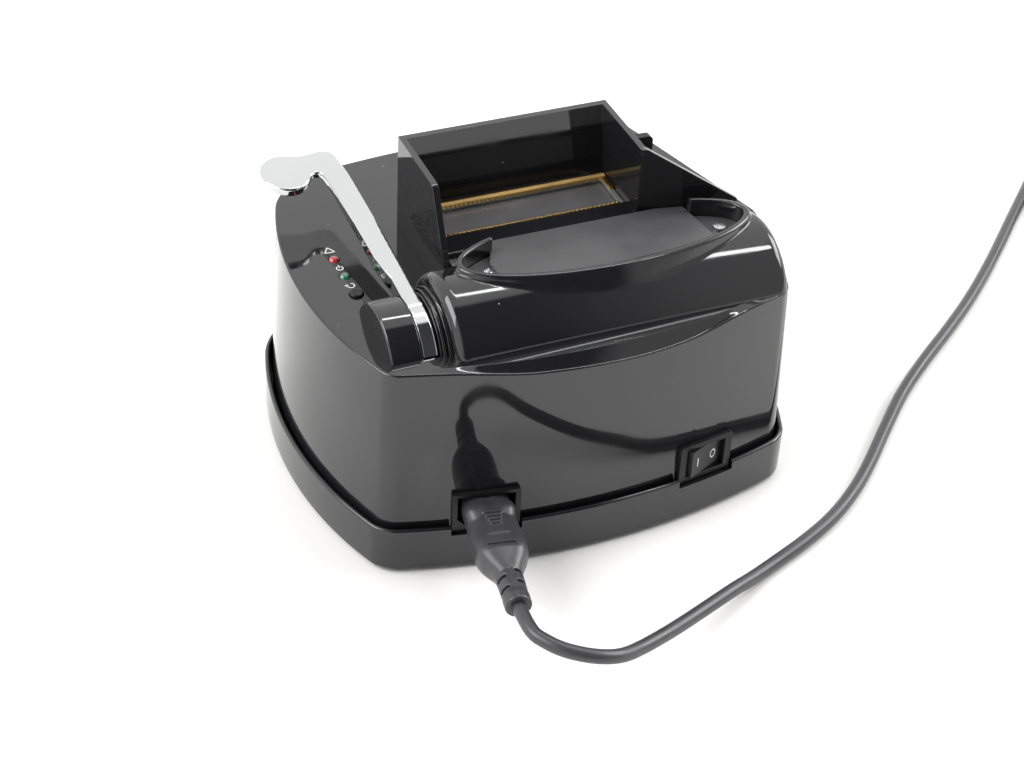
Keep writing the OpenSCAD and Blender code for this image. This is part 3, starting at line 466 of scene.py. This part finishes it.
def at_rear(side, u, w, v):
    """Point u along, w out from and v above the middle of a rear fitting."""
    c, s = math.cos(FIT_TURN), math.sin(FIT_TURN) * side
    return (side * 50.0 + u * c + w * s, FIT_Y - u * s + w * c, FIT_Z + v)


def rear_shape(side, mesh):
    verts, faces = mesh
    return [at_rear(side, *p) for p in verts], faces


# ---------------------------------------------------------------- mains lead
LEAD_D = 6.0
COIL = (-382.1, -83.4)
RELIEF_END = at_rear(1, 0.0, 60.3, 0.0)
ROUTE = [
    (60.2, 156.3, 28.8), (57.4, 162.7, 28.5), (52.9, 168.2, 27.9), (46.9, 172.2, 26.9),
    (40.2, 174.5, 25.3), (33.2, 174.7, 23.1), (26.5, 172.9, 20.6), (20.2, 170, 18.4),
    (13.8, 167.1, 16.7), (1.1, 161, 13.8), (-11.5, 154.6, 11.2), (-24.2, 148.3, 9.1),
    (-37, 142.1, 7.2), (-49.7, 135.8, 4.5), (-62.7, 129.9, 3.3), (-82.4, 121.6, 3.2),
    (-101.3, 111.8, 3.1), (-118.6, 99.5, 3.1), (-134.4, 85.5, 3.1), (-154.3, 65.6, 3.1),
    (-174.5, 46.1, 3.1), (-196.3, 28.4, 3.1), (-218.8, 11.7, 3.1), (-241, -5.5, 3.1),
    (-262.2, -23.7, 3.1), (-282.8, -42.7, 3.1), (-303, -62.1, 3.1), (-320.4, -78.6, 3.1),
    (-337.8, -95.2, 3.1), (-355.2, -111.7, 3.1),
]


def ease(t, a, b):
    t = min(max((t - a) / (b - a), 0.0), 1.0)
    return t * t * (3 - 2 * t)


def coil_points():
    """Two strands side by side in three layers, wound out, in, in, out, in, out."""
    pts = []
    turns = 5.371
    steps = int(turns * 40)
    for i in range(steps + 1):
        t = turns * i / steps
        a = math.radians(-46.43 - 360.0 * t)
        r = 39.0 - 6.0 * (ease(t, 0.7, 1.0) - ease(t, 2.7, 3.0) + ease(t, 4.0, 4.3) - ease(t, 4.7, 5.0))
        z = 3.1 + 6.0 * (ease(t, 1.7, 2.0) + ease(t, 3.7, 4.0))
        pts.append((COIL[0] + r * math.cos(a), COIL[1] + r * math.sin(a), z))
    return pts


TAIL_X = COIL[0] - 39.0
TAIL = [(TAIL_X, COIL[1] + d, z) for d, z in ((16, 15.1), (32, 14.6), (48, 13.9), (64, 13.5))]
INSIDE = at_rear(1, 0.0, 52.0, 0.0)
lead_path = (curve_points([INSIDE, RELIEF_END] + ROUTE, 4)[:-1] + coil_points()
             + curve_points([coil_points()[-1]] + TAIL, 4)[1:])
spline_data = bpy.data.curves.new("lead", "CURVE")
spline_data.dimensions = "3D"
spline_data.bevel_depth = LEAD_D / 2 * MM
spline_data.bevel_resolution = 6
spline = spline_data.splines.new("POLY")
spline.points.add(len(lead_path) - 1)
for point, p in zip(spline.points, lead_path):
    point.co = (p[0] * MM, p[1] * MM, p[2] * MM, 1.0)
spline.use_smooth = True
spline_data.use_fill_caps = True
lead = bpy.data.objects.new("lead", spline_data)
scene.collection.objects.link(lead)
dress(lead, "cord_black", "machine", weighted=False, replaces=("lead_run", "lead_coil", "lead_tail"))
lead_length = sum(float(np.linalg.norm(np.array(b) - np.array(a))) for a, b in zip(lead_path, lead_path[1:]))


def plug_field(u, w, v):
    """Inlet plug with its strain relief, in the fitting's own axes."""
    half_w = np.interp(w, [2, 16, 24, 31, 35, 39, 41], [10.2, 10.4, 10.9, 10.8, 9.4, 7.2, 6.0])
    half_h = np.interp(w, [2, 20, 27, 33, 39, 41], [7.2, 7.4, 8.0, 7.9, 6.4, 5.9])
    e = (np.abs(u / half_w) ** 2.8 + np.abs(v / half_h) ** 2.8) ** (1 / 2.8)
    body = round_and((e - 1) * np.minimum(half_w, half_h), slab(w, -13.5, 42), 1.2)
    for s in (-1, 1):
        lobe = np.sqrt(((u - s * 5.2) / 1.35) ** 2 + ((w - 7.5) / 1.5) ** 2 + (v - 4.4) ** 2) - 4.0
        body = smin(body, lobe, 1.2)
    notch = np.sqrt(u ** 2 + ((w - 3.0) / 1.6) ** 2 + (v - 9.6) ** 2) - 3.1
    body = smax(body, -notch, 0.8)
    for i in range(4):
        across = np.maximum(np.abs(u) - 3.4 + 0.5 * i, 0)
        rib = np.sqrt(across ** 2 + (w - (11.5 + i * 2.2)) ** 2 + (v - 7.75) ** 2) - 0.55
        body = smin(body, rib, 0.5)
    body = smax(body, -box_field(u, w, v, (-6.2, 24.0, 7.35), (6.2, 31.2, 12), 0.6), 0.35)
    body = np.maximum(body, -box_field(u, w, v, (-6.0, 29.6, 6.5), (6.0, 30.3, 12)))
    radius = np.interp(w, [36, 54, 56, 60], [5.9, 5.4, 5.6, 5.5])
    d = np.hypot(u, v)
    relief = round_and(d - radius, slab(w, 36, 60.3), 0.9)
    angle = np.degrees(np.arctan2(v, u))
    for i in range(2):
        for mid, shift in ((32.0, 2.4), (142.0, 0.0), (-90.0, 1.2)):
            turn = np.abs((angle - mid + 180) % 360 - 180)
            slot_w = slab(w, 43.4 + shift + i * 6.0, 44.9 + shift + i * 6.0)
            cut = round_and(round_and(slot_w, (np.radians(turn) - 0.62) * 5.0, 0.7), 4.0 - d, 0.3)
            relief = np.maximum(relief, -cut)
    return smin(body, relief, 1.6)


verts, faces = net(plug_field, (-15, -15, -12), (15, 62, 12), 0.4)
plug = add_mesh("inlet_plug", [at_rear(1, *p) for p in verts], faces, "cord_black", "machine",
                sharp=0, weighted=False, replaces=("plug_body", "plug_relief"))


# ---------------------------------------------------------------- tray and case
def outline_field(x, y, inset):
    side_at = TRAY_W / 2 - SIDE_R
    side = np.maximum(np.hypot(x - side_at, y), np.hypot(x + side_at, y)) - SIDE_R + inset
    rear = np.hypot(x, y - (TRAY_D / 2 - REAR_R)) - REAR_R + inset
    front = np.hypot(x, y - (FRONT_R - TRAY_D / 2)) - FRONT_R + inset
    return np.where(y > 0, round_and(side, rear, max(5.0 - inset * 0.3, 1.0)),
                    round_and(side, front, max(22.0 - inset, 3.0)))


def outline(inset, angles):
    c, s = np.cos(angles), np.sin(angles)
    lo, hi = np.zeros(len(angles)), np.full(len(angles), 200.0)
    for _ in range(40):
        mid = (lo + hi) / 2
        inside = outline_field(mid * c, mid * s, inset) < 0
        lo, hi = np.where(inside, mid, lo), np.where(inside, hi, mid)
    return lo * c, lo * s


def outline_angles():
    a = list(np.linspace(-math.pi, math.pi, 181)[:-1])
    for cx, cy, span in ((92.5, 75.0, 0.11), (86.0, -74.0, 0.30)):
        for s in (1, -1):
            mid = math.atan2(cy, s * cx)
            a += list(np.linspace(mid - span, mid + span, 60))
    a = sorted(a)
    keep = [a[0]]
    for v in a[1:]:
        if v - keep[-1] > 0.004:
            keep.append(v)
    return np.array(keep)


def loft(rings):
    """rings: list of (x, y, z) arrays of one length; quads between each two."""
    n = len(rings[0][0])
    verts = [p for r in rings for p in zip(*r)]
    faces = [(i * n + k, i * n + (k + 1) % n, (i + 1) * n + (k + 1) % n, (i + 1) * n + k)
             for i in range(len(rings) - 1) for k in range(n)]
    return verts, faces


def ring(angles, inset, z):
    x, y = outline(inset, angles)
    return x, y, np.full(len(angles), float(z)) if np.isscalar(z) else z


ANG = outline_angles()
tray_rings = [ring(ANG, 3.2, 1.5), ring(ANG, 1.4, 1.5)]
tray_rings += [ring(ANG, 1.4 - 1.4 * math.sin(a), 2.9 - 1.4 * math.cos(a)) for a in np.radians([30, 60, 90])]
tray_rings += [ring(ANG, 0.0, z) for z in (9.0, 15.0, 21.6)]
tray_rings += [ring(ANG, 1.1 - 1.1 * math.cos(a), 21.8 + 1.1 * math.sin(a))
               for a in np.radians([0, 30, 60, 90, 120, 150, 180])]
tray_rings += [ring(ANG, 2.2, 4.0)]
tray_verts, tray_faces = loft(tray_rings)
count = len(ANG)
tray_faces.append(tuple(range(count))[::-1])
tray_faces.append(tuple((len(tray_rings) - 1) * count + k for k in range(count)))
tray = add_mesh("tray_shell", tray_verts, tray_faces, "gloss_black", "machine", replaces=("base_tray",))

BEVEL_FROM = (-101, 5)
BEVEL_TURN = -74.3
BEVEL_TILT = 52
EDGE = 0.9
CASE_FOOT = 4.3
CASE_WALL = 2.6
DECK_T = 2.8
SCOOP_X = [-74, -66, -59, -50, -41, -29, -17, -5, 7, 18, 29, 37, 50, 62, 74]
SCOOP_D = [0.0, 0.4, 1.6, 3.3, 5.0, 5.9, 6.3, 6.1, 5.7, 5.2, 4.7, 3.9, 2.0, 0.5, 0.0]
even_x = np.arange(-90.0, 91.0, 1.0)
window = np.hanning(19)[1:-1]
even_d = np.convolve(np.pad(np.interp(even_x, SCOOP_X, SCOOP_D), 8, mode="edge"), window / window.sum(), "valid")


def scoop(x, y):
    """How far the rear edge of the deck is cut down."""
    return np.where(y > 0, np.interp(x, even_x, even_d), 0.0)


def case_ring(t, extra):
    """Wall ring at share t of the height, moved in by extra."""
    return outline(FOOT_INSET + (DECK_INSET - FOOT_INSET) * t + extra, ANG)


case_rings = []
x, y = case_ring(0.0, 0.0)
case_rings.append((x, y, np.full(count, CASE_FOOT)))
for t in (0.15, 0.35, 0.55, 0.75, 0.9):
    x, y = case_ring(t, 0.0)
    case_rings.append((x, y, CASE_FOOT + (DECK - scoop(x, y) - EDGE - CASE_FOOT) * t))
for a in np.radians([0, 15, 30, 45, 60, 75, 90]):
    x, y = case_ring(1.0, EDGE * (1 - math.cos(a)))
    case_rings.append((x, y, DECK - scoop(x, y) - EDGE + EDGE * math.sin(a)))
# hollow of the scoop, then the crease where it meets the flat deck
for w, drop in ((0.25, 0.78), (0.5, 0.50), (0.75, 0.235), (0.9, 0.085), (0.97, 0.025),
                (1.0, 0.006), (1.06, 0.0)):
    x, y = case_ring(1.0, EDGE + 3.0 * w)
    case_rings.append((x, y, DECK - scoop(x, y) * drop))
case_verts, case_faces = loft(case_rings)
top = (len(case_rings) - 1) * count
case_faces.append(tuple(top + k for k in range(count)))
case_faces.append(tuple(range(count))[::-1])


def side_bevel(depth):
    """What stands above the bevel at the front corner on the drive side."""
    turn = (Matrix.Translation((*BEVEL_FROM, DECK - depth)) @ Matrix.Rotation(math.radians(BEVEL_TURN), 4, "Z")
            @ Matrix.Rotation(math.radians(BEVEL_TILT), 4, "X"))
    v, f = plain_box((-40, -60, 0), (140, 0, 40))
    return [tuple(turn @ Vector(p)) for p in v], f


inner = []
for t in (-0.02, 0.5, 1.0):
    x, y = case_ring(t, CASE_WALL)
    inner.append((x, y, CASE_FOOT + (DECK - scoop(x, y) - DECK_T - CASE_FOOT) * t))
x, y = case_ring(1.0, 7.0)
inner.append((x, y, np.full(count, DECK - DECK_T)))
inner_verts, inner_faces = loft(inner)
inner_faces.append(tuple(3 * count + k for k in range(count)))
inner_faces.append(tuple(range(count))[::-1])
hollow_data = bpy.data.meshes.new("hollow")
hollow_data.from_pydata([tuple(float(c) * MM for c in p) for p in inner_verts], [],
                        [tuple(f) for f in inner_faces])
hollow = bpy.data.objects.new("hollow", hollow_data)
scene.collection.objects.link(hollow)
carve(hollow, [side_bevel(3.6)])
hollow_mesh = ([tuple(c / MM for c in v.co) for v in hollow.data.vertices],
               [tuple(f.vertices) for f in hollow.data.polygons])
bpy.data.objects.remove(hollow)
case = add_mesh("case_skin", case_verts, case_faces, "gloss_black", "machine", replaces=("case_shell",))

cuts = [plain_box((-43.3, -24.3, 88), (46.3, 28, 120)), plain_box((-82, 24.5, 88), (56, 66, 120)),
        plain_box((64.7, 25, 88), (71.9, 66, 120)), plain_box((98, -40.4, 86.5), (112, -39.2, 96)),
        lathe([(88, 2.62), (120, 2.62)], 2, (82.9, -11.8, 0), 48),
        lathe([(88, 2.62), (120, 2.62)], 2, (82.7, 1.3, 0), 48),
        lathe([(88, 3.25), (120, 3.25)], 2, (82.3, 14.8, 0), 48)]
INLET = (28.8, 19.2)
SWITCH = (26.6, 19.4)
for side, (w, h) in ((1, INLET), (-1, SWITCH)):
    cuts.append(rear_shape(side, plain_box((-w / 2 + 1.2, -12, -h / 2 + 1.2), (w / 2 - 1.2, 12, h / 2 - 1.2))))
    cuts.append(rear_shape(side, plain_box((-w / 2 - 0.2, -0.4, -h / 2 - 0.2), (w / 2 + 0.2, 8, h / 2 + 0.2))))
carve(case, [side_bevel(0.0), hollow_mesh] + cuts)
carve(tray, [rear_shape(s, plain_box((-w / 2 - 0.6, -6, -h / 2 - 0.6), (w / 2 + 0.6, 8, h / 2 + 0.6)))
             for s, (w, h) in ((1, INLET), (-1, SWITCH))])

# ---------------------------------------------------------------- drum cover with the oval tray
OVAL = (-17.5, 39.0)


def drum_field(x, y, z):
    d = np.hypot(y - SHAFT_Y, z - SHAFT_Z)
    drum = rod_field(x, d, -89.0, 60.0, 28.5, 5.0)
    k = np.clip((121.0 - z) / 17.0, -0.2, 1.3)
    grow = np.where(y > OVAL[1], 5.9 * k, 0.0)
    ox, oy = x - OVAL[0], y - OVAL[1]
    skirt = round_and(ellipse_field(ox, oy, 65.6 + grow, 21.2 + grow), slab(z, 96.0, 121.0), 0.9)
    whole = np.where(y > OVAL[1] - 6, smin(drum, skirt, 0.8), np.minimum(drum, skirt))
    bowl = round_and(ellipse_field(ox, oy, 62.8, 18.4), 111.0 - z, 0.8)
    whole = smax(whole, -bowl, 0.9)
    mouth = box_field(x, y, z, (-62.5, 0.0, 111.0), (27.5, 31.0, 140.0), 0.4)
    whole = np.maximum(whole, -mouth)
    under = np.maximum(rod_field(x, d, -86.5, 57.5, 25.9, 3.0), z - 109.0)
    whole = np.maximum(whole, -under)
    whole = np.maximum(whole, -box_field(x, y, z, (-43.3, 0.0, 80.0), (46.3, 32.0, 109.0)))
    for sx in (33.5, -70.5):
        whole = np.maximum(whole, 1.2 - np.hypot(x - sx, y - OVAL[1]))
    return np.maximum(whole, DECK - 1.0 - z)


verts, faces = net(drum_field, (-90, 16, 96.4), (61, 75, 122), 0.55)
add_mesh("drum_skin", verts, faces, "gloss_black", "machine", sharp=50, weighted=False,
         replaces=("drum_cover",))

# ---------------------------------------------------------------- lever, hub and collar
LEVER_PLAN = [(65.0, 45.5), (71.6, 45.5), (71.6, 27), (72.6, 22), (73.9, 12), (74.4, -10), (75.4, -30),
              (76.6, -44), (77, -57), (76.4, -60.5), (72, -62.4), (68.2, -60.8), (66.8, -57), (65.8, -40),
              (65.2, -10), (65.0, 20)]


def lever_field(x, y, z):
    plan = polygon_field(x, y, LEVER_PLAN)
    pad = ellipse_field(x - 91.2, y + 51.0, 10.6, 13.0)
    neck = box_field(x, y, np.zeros_like(x), (73, -61.4, -9), (88, -46.6, 9), 0.0)
    plan = smin(plan, smin(pad, neck, 3.0), 3.0)
    top = np.interp(y, [-66, -54, -44, -25, 0, 30, 45.5], [119.9, 119.9, 119.5, 117.7, 115.2, 111.9, 110.4])
    low = np.interp(y, [-66, -52, -40, -20, 0, 24, 34, 45.5],
                    [117.2, 117.0, 115.6, 111.8, 108.6, 104.6, 103.0, 103.0])
    blade = round_and(plan, np.maximum(z - top, low - z), 0.9)
    d = np.hypot(y - SHAFT_Y, z - SHAFT_Z)
    boss = rod_field(x, d, 65.0, 71.6, 20.3, 0.7)
    whole = smin(blade, boss, 1.2)
    # the blend must not swell the boss sideways into its slot
    return np.where(d < 22.5, np.maximum(whole, slab(x, 65.0, 71.6)), whole)


verts, faces = net(lever_field, (64, -66, 69), (103, 67, 121), 0.45)
add_mesh("lever_skin", verts, faces, "chrome", "lever", sharp=55, weighted=False, replaces=("lever",))

cap_profile = [(72.0, 19.4), (72.0, 20.9)]
cap_profile += [(72.5 - 0.5 * math.cos(math.radians(a)), 20.9 + 0.5 * math.sin(math.radians(a)))
                for a in (30, 60, 90)]
cap_profile += [(84.1 + 1.2 * math.sin(math.radians(a)), 20.2 + 1.2 * math.cos(math.radians(a)))
                for a in range(0, 91, 10)]
cap_profile += [(85.3, 12.0)]
verts, faces = lathe(cap_profile, 0, (0, SHAFT_Y, SHAFT_Z), 160)
hub = add_mesh("hub_skin", verts, faces, "gloss_black", "machine", replaces=("hub_cap",))
clip_below(hub, DECK - 0.5)
bead = []
for x0, x1, r in ((60.05, 61.6, 23.6), (61.6, 62.4, 22.0), (62.4, 63.7, 22.8), (63.7, 64.5, 21.4)):
    w = (x1 - x0) / 2
    e = min(0.4, w * 0.8)
    bead += [(x0, r - e)] + arc_points(x0 + e, r - e, e, 180, 90, 3) + arc_points(x1 - e, r - e, e, 90, 0, 3)
verts, faces = lathe(bead, 0, (0, SHAFT_Y, SHAFT_Z), 160)
collar = add_mesh("collar_skin", verts, faces, "gloss_black", "machine", replaces=("drum_collar",))
clip_below(collar, DECK - 0.5)

# ---------------------------------------------------------------- lamps, button and printed marks
for name, at, slot in (("led_red", (82.9, -11.8), "lens_red"), ("led_green", (82.7, 1.3), "lens_green")):
    prof = [(85.6, 2.9), (86.6, 2.9), (86.6, 2.5), (97.0, 2.5)] + [
        (97.2 + 2.5 * math.sin(math.radians(a)), max(2.5 * math.cos(math.radians(a)), 0.05))
        for a in range(0, 91, 10)]
    verts, faces = lathe(prof, 2, (at[0], at[1], 0), 48)
    add_mesh(name + "_lens", verts, faces, slot, "machine", replaces=(name,))
prof = [(91.3, 2.9), (93.6, 2.95), (93.6, 4.2), (95.2, 4.2), (95.2, 2.95), (98.8, 2.95)]
prof += arc_points(98.8, 2.15, 0.8, 90, 0, 5) + [(99.5, 1.2), (99.35, 0.4)]
verts, faces = lathe(prof, 2, (82.3, 14.8, 0), 64)
add_mesh("reset_cap", verts, faces, "satin_black", "reset", replaces=("reset_button",))


def flat_ring(cx, cy, r0, r1, a0=0.0, a1=360.0, n=40):
    v = []
    for i in range(n + 1):
        a = math.radians(a0 + (a1 - a0) * i / n)
        v += [(cx + r0 * math.cos(a), cy + r0 * math.sin(a)), (cx + r1 * math.cos(a), cy + r1 * math.sin(a))]
    f = [(2 * i, 2 * i + 1, 2 * i + 3, 2 * i + 2) for i in range(n)]
    return v, f


def flat_poly(pts):
    return list(pts), [tuple(range(len(pts)))]


def print_marks(name, shapes, place, body, thick=0.03):
    """Thin printed marks: each shape is drawn flat, then place(u, v, height) puts it on its face."""
    verts, faces = [], []
    for pts, fs in shapes:
        base, n = len(verts), len(pts)
        verts += [place(u, v, thick) for u, v in pts] + [place(u, v, -0.05) for u, v in pts]
        faces += [tuple(i + base for i in f) for f in fs]
        faces += [tuple(i + base + n for i in f[::-1]) for f in fs]
        count = {}
        for f in fs:
            for a, b in zip(f, f[1:] + f[:1]):
                count[(a, b)] = count.get((a, b), 0) + 1
        for a, b in list(count):
            if (b, a) not in count:
                faces.append((base + b, base + a, base + n + a, base + n + b))
    ob = add_mesh(name, verts, faces, "mark_white", body, weighted=False)
    return ob


# a warning triangle, a lamp's "on" mark and a restart arrow, seen from the user's side
marks = []
tri = [(82.9, -21.0), (80.7, -17.2), (85.1, -17.2)]
for i in range(3):
    (ax, ay), (bx, by) = tri[i], tri[(i + 1) % 3]
    dx, dy = bx - ax, by - ay
    n = math.hypot(dx, dy)
    ox, oy = -dy / n * 0.25, dx / n * 0.25
    marks.append(flat_poly([(ax - ox, ay - oy), (bx - ox, by - oy), (bx + ox, by + oy), (ax + ox, ay + oy)]))
marks.append(flat_ring(82.7, -5.0, 1.15, 1.6, -60, 240))
marks.append(flat_poly([(82.5, -7.3), (82.9, -7.3), (82.9, -5.2), (82.5, -5.2)]))
marks.append(flat_ring(82.4, 8.3, 1.25, 1.7, -20, 260))
marks.append(flat_poly([(83.2, 7.4), (84.9, 7.4), (84.1, 8.9)]))
print_marks("deck_marks", marks, lambda u, v, h: (u, v, DECK + h), "machine")

# ---------------------------------------------------------------- carried-over solids
SLOT_OF = {s["node"]: s["material_slot"] for s in frame["record"]["subparts"]}
WIDTH = {"hopper": 0.7, "chute_plate": 0.35, "press_jaw": 0.35, "chamber_block": 0.4, "tube_clamp": 0.8,
         "clamp_bracket": 0.5, "inlet_body": 0.5, "switch_body": 0.6, "switch_rocker": 0.5, "nozzle": 0.2,
         "mains_plug": 0.0, "gearbox": 1.0, "motor": 0.5, "motor_cradle": 0.5, "transformer": 0.5,
         "base_screws": 0.1, "chute_screws": 0.15, "feet": 0.4, "spoon": 0.0, "front_blade": 0.05,
         "rear_blade": 0.05, "press_pinions": 0.1, "drive_pinion": 0.1, "lead_tie": 0.0}
for name, ob in NODES.items():
    if not ob.hide_render:
        soften(name, SLOT_OF[name], WIDTH.get(name, 0.25))
strip_verts, strip_faces = plain_box((-42.8, -18.1, 111.5), (45.8, -15.9, 111.85))
strip = add_mesh("blade_strip", strip_verts, strip_faces, "brass", "machine", weighted=False)
strip.material_slots[0].material = textured("strip_brass", (0.78, 0.52, 0.20), 0.36, metal=0.35, grain=1200.0)
plate_look = textured("plate_black", (0.055, 0.054, 0.056), 0.42, grain=1300.0, depth=0.00003, tint=0.06)
for s in NODES["chute_plate"].material_slots:
    s.material = plate_look
jaw_look = textured("jaw_polish", (0.105, 0.103, 0.107), 0.18, grain=900.0, tint=0.08)
for s in NODES["press_jaw"].material_slots:
    s.material = jaw_look

# ---------------------------------------------------------------- rocker marks
def rocker_face(side_x):
    """Places a mark on one half of the tipped rocker."""
    (x0, y0), (x1, y1) = ((-9.6, -0.4), (0.0, 1.4)) if side_x < 0 else ((0.0, 1.4), (9.6, 4.0))
    n = math.hypot(x1 - x0, y1 - y0)
    tx, ty = (x1 - x0) / n, (y1 - y0) / n

    def place(u, v, h):
        x = side_x + u * tx
        y = y0 + (side_x - x0) * ty / tx + u * ty
        return at_rear(-1, x - ty * h, y + tx * h, v)
    return place


bar = flat_poly([(-0.25, -2.2), (0.25, -2.2), (0.25, 2.2), (-0.25, 2.2)])
print_marks("rocker_on", [bar], rocker_face(4.6), "rocker")
ring_points, ring_faces = flat_ring(0, 0, 1.0, 1.3)
print_marks("rocker_off", [([(u * 1.2, v * 1.75) for u, v in ring_points], ring_faces)],
            rocker_face(-4.6), "rocker")

# ---------------------------------------------------------------- floor, light and world
me = bpy.data.meshes.new("floor")
FLOOR_HALF = 8.0
me.from_pydata([(sx * FLOOR_HALF, sy * FLOOR_HALF, 0) for sx, sy in ((-1, -1), (1, -1), (1, 1), (-1, 1))], [],
               [(0, 1, 2, 3)])
floor = bpy.data.objects.new("floor", me)
scene.collection.objects.link(floor)
fm, ft, fs = new_material("floor_paper", (0.90, 0.895, 0.88), 0.6)
fs.inputs["Specular IOR Level"].default_value = 0.2
paper = ramp(ft, noise(ft, 2.0, 2.0), [(0.3, (0.885, 0.878, 0.862)), (0.7, (0.905, 0.902, 0.893))])
ft.links.new(paper, fs.inputs["Base Color"])
me.materials.append(fm)


def area_light(name, at, to, size, power, color=(1, 1, 1)):
    data = bpy.data.lights.new(name, "AREA")
    data.shape = "RECTANGLE"
    data.size, data.size_y = size
    data.energy = power
    data.color = color
    ob = bpy.data.objects.new(name, data)
    scene.collection.objects.link(ob)
    ob.location = at
    ob.rotation_euler = (Vector(to) - Vector(at)).to_track_quat("-Z", "Y").to_euler()
    return ob


area_light("left_box", (1.7, -0.2, 1.6), (0.0, 0.0, 0.05), (1.6, 1.4), 42.0)
area_light("right_box", (-2.0, 0.1, 1.3), (-0.1, 0.0, 0.05), (1.6, 1.2), 44.0)
area_light("tubes", (-0.62, -0.24, 1.75), (0.0, 0.05, 0.1), (1.5, 0.07), 5.5)
world = bpy.data.worlds.new("studio")
world.use_nodes = True
scene.world = world
wt = world.node_tree
coord = wt.nodes.new("ShaderNodeTexCoord")
sep = wt.nodes.new("ShaderNodeSeparateXYZ")
wt.links.new(coord.outputs["Generated"], sep.inputs["Vector"])


def world_range(source, a, b, lo=0.0, hi=1.0):
    m = wt.nodes.new("ShaderNodeMapRange")
    m.interpolation_type = "SMOOTHSTEP"
    m.inputs["From Min"].default_value = a
    m.inputs["From Max"].default_value = b
    m.inputs["To Min"].default_value = lo
    m.inputs["To Max"].default_value = hi
    wt.links.new(source, m.inputs["Value"])
    return m.outputs["Result"]


def times(a, b):
    m = wt.nodes.new("ShaderNodeMath")
    m.operation = "MULTIPLY"
    wt.links.new(a, m.inputs[0])
    wt.links.new(b, m.inputs[1])
    return m.outputs["Value"]


# the dim side of the room, behind the camera, seen in the parts that face it
room = times(world_range(sep.outputs["Y"], -0.02, 0.10), world_range(sep.outputs["X"], -0.44, -0.33, 0.55, 1.0))
room = times(room, world_range(sep.outputs["X"], 0.35, 0.75, 1.0, 0.0))
shade = wt.nodes.new("ShaderNodeMix")
shade.data_type = "RGBA"
shade.inputs["A"].default_value = (1.0, 1.0, 1.0, 1.0)
shade.inputs["B"].default_value = (0.045, 0.045, 0.055, 1.0)
wt.links.new(room, shade.inputs["Factor"])
wt.links.new(shade.outputs["Result"], wt.nodes["Background"].inputs["Color"])
wt.nodes["Background"].inputs["Strength"].default_value = 1.38
scene.view_settings.view_transform = "Standard"
scene.view_settings.look = "None"
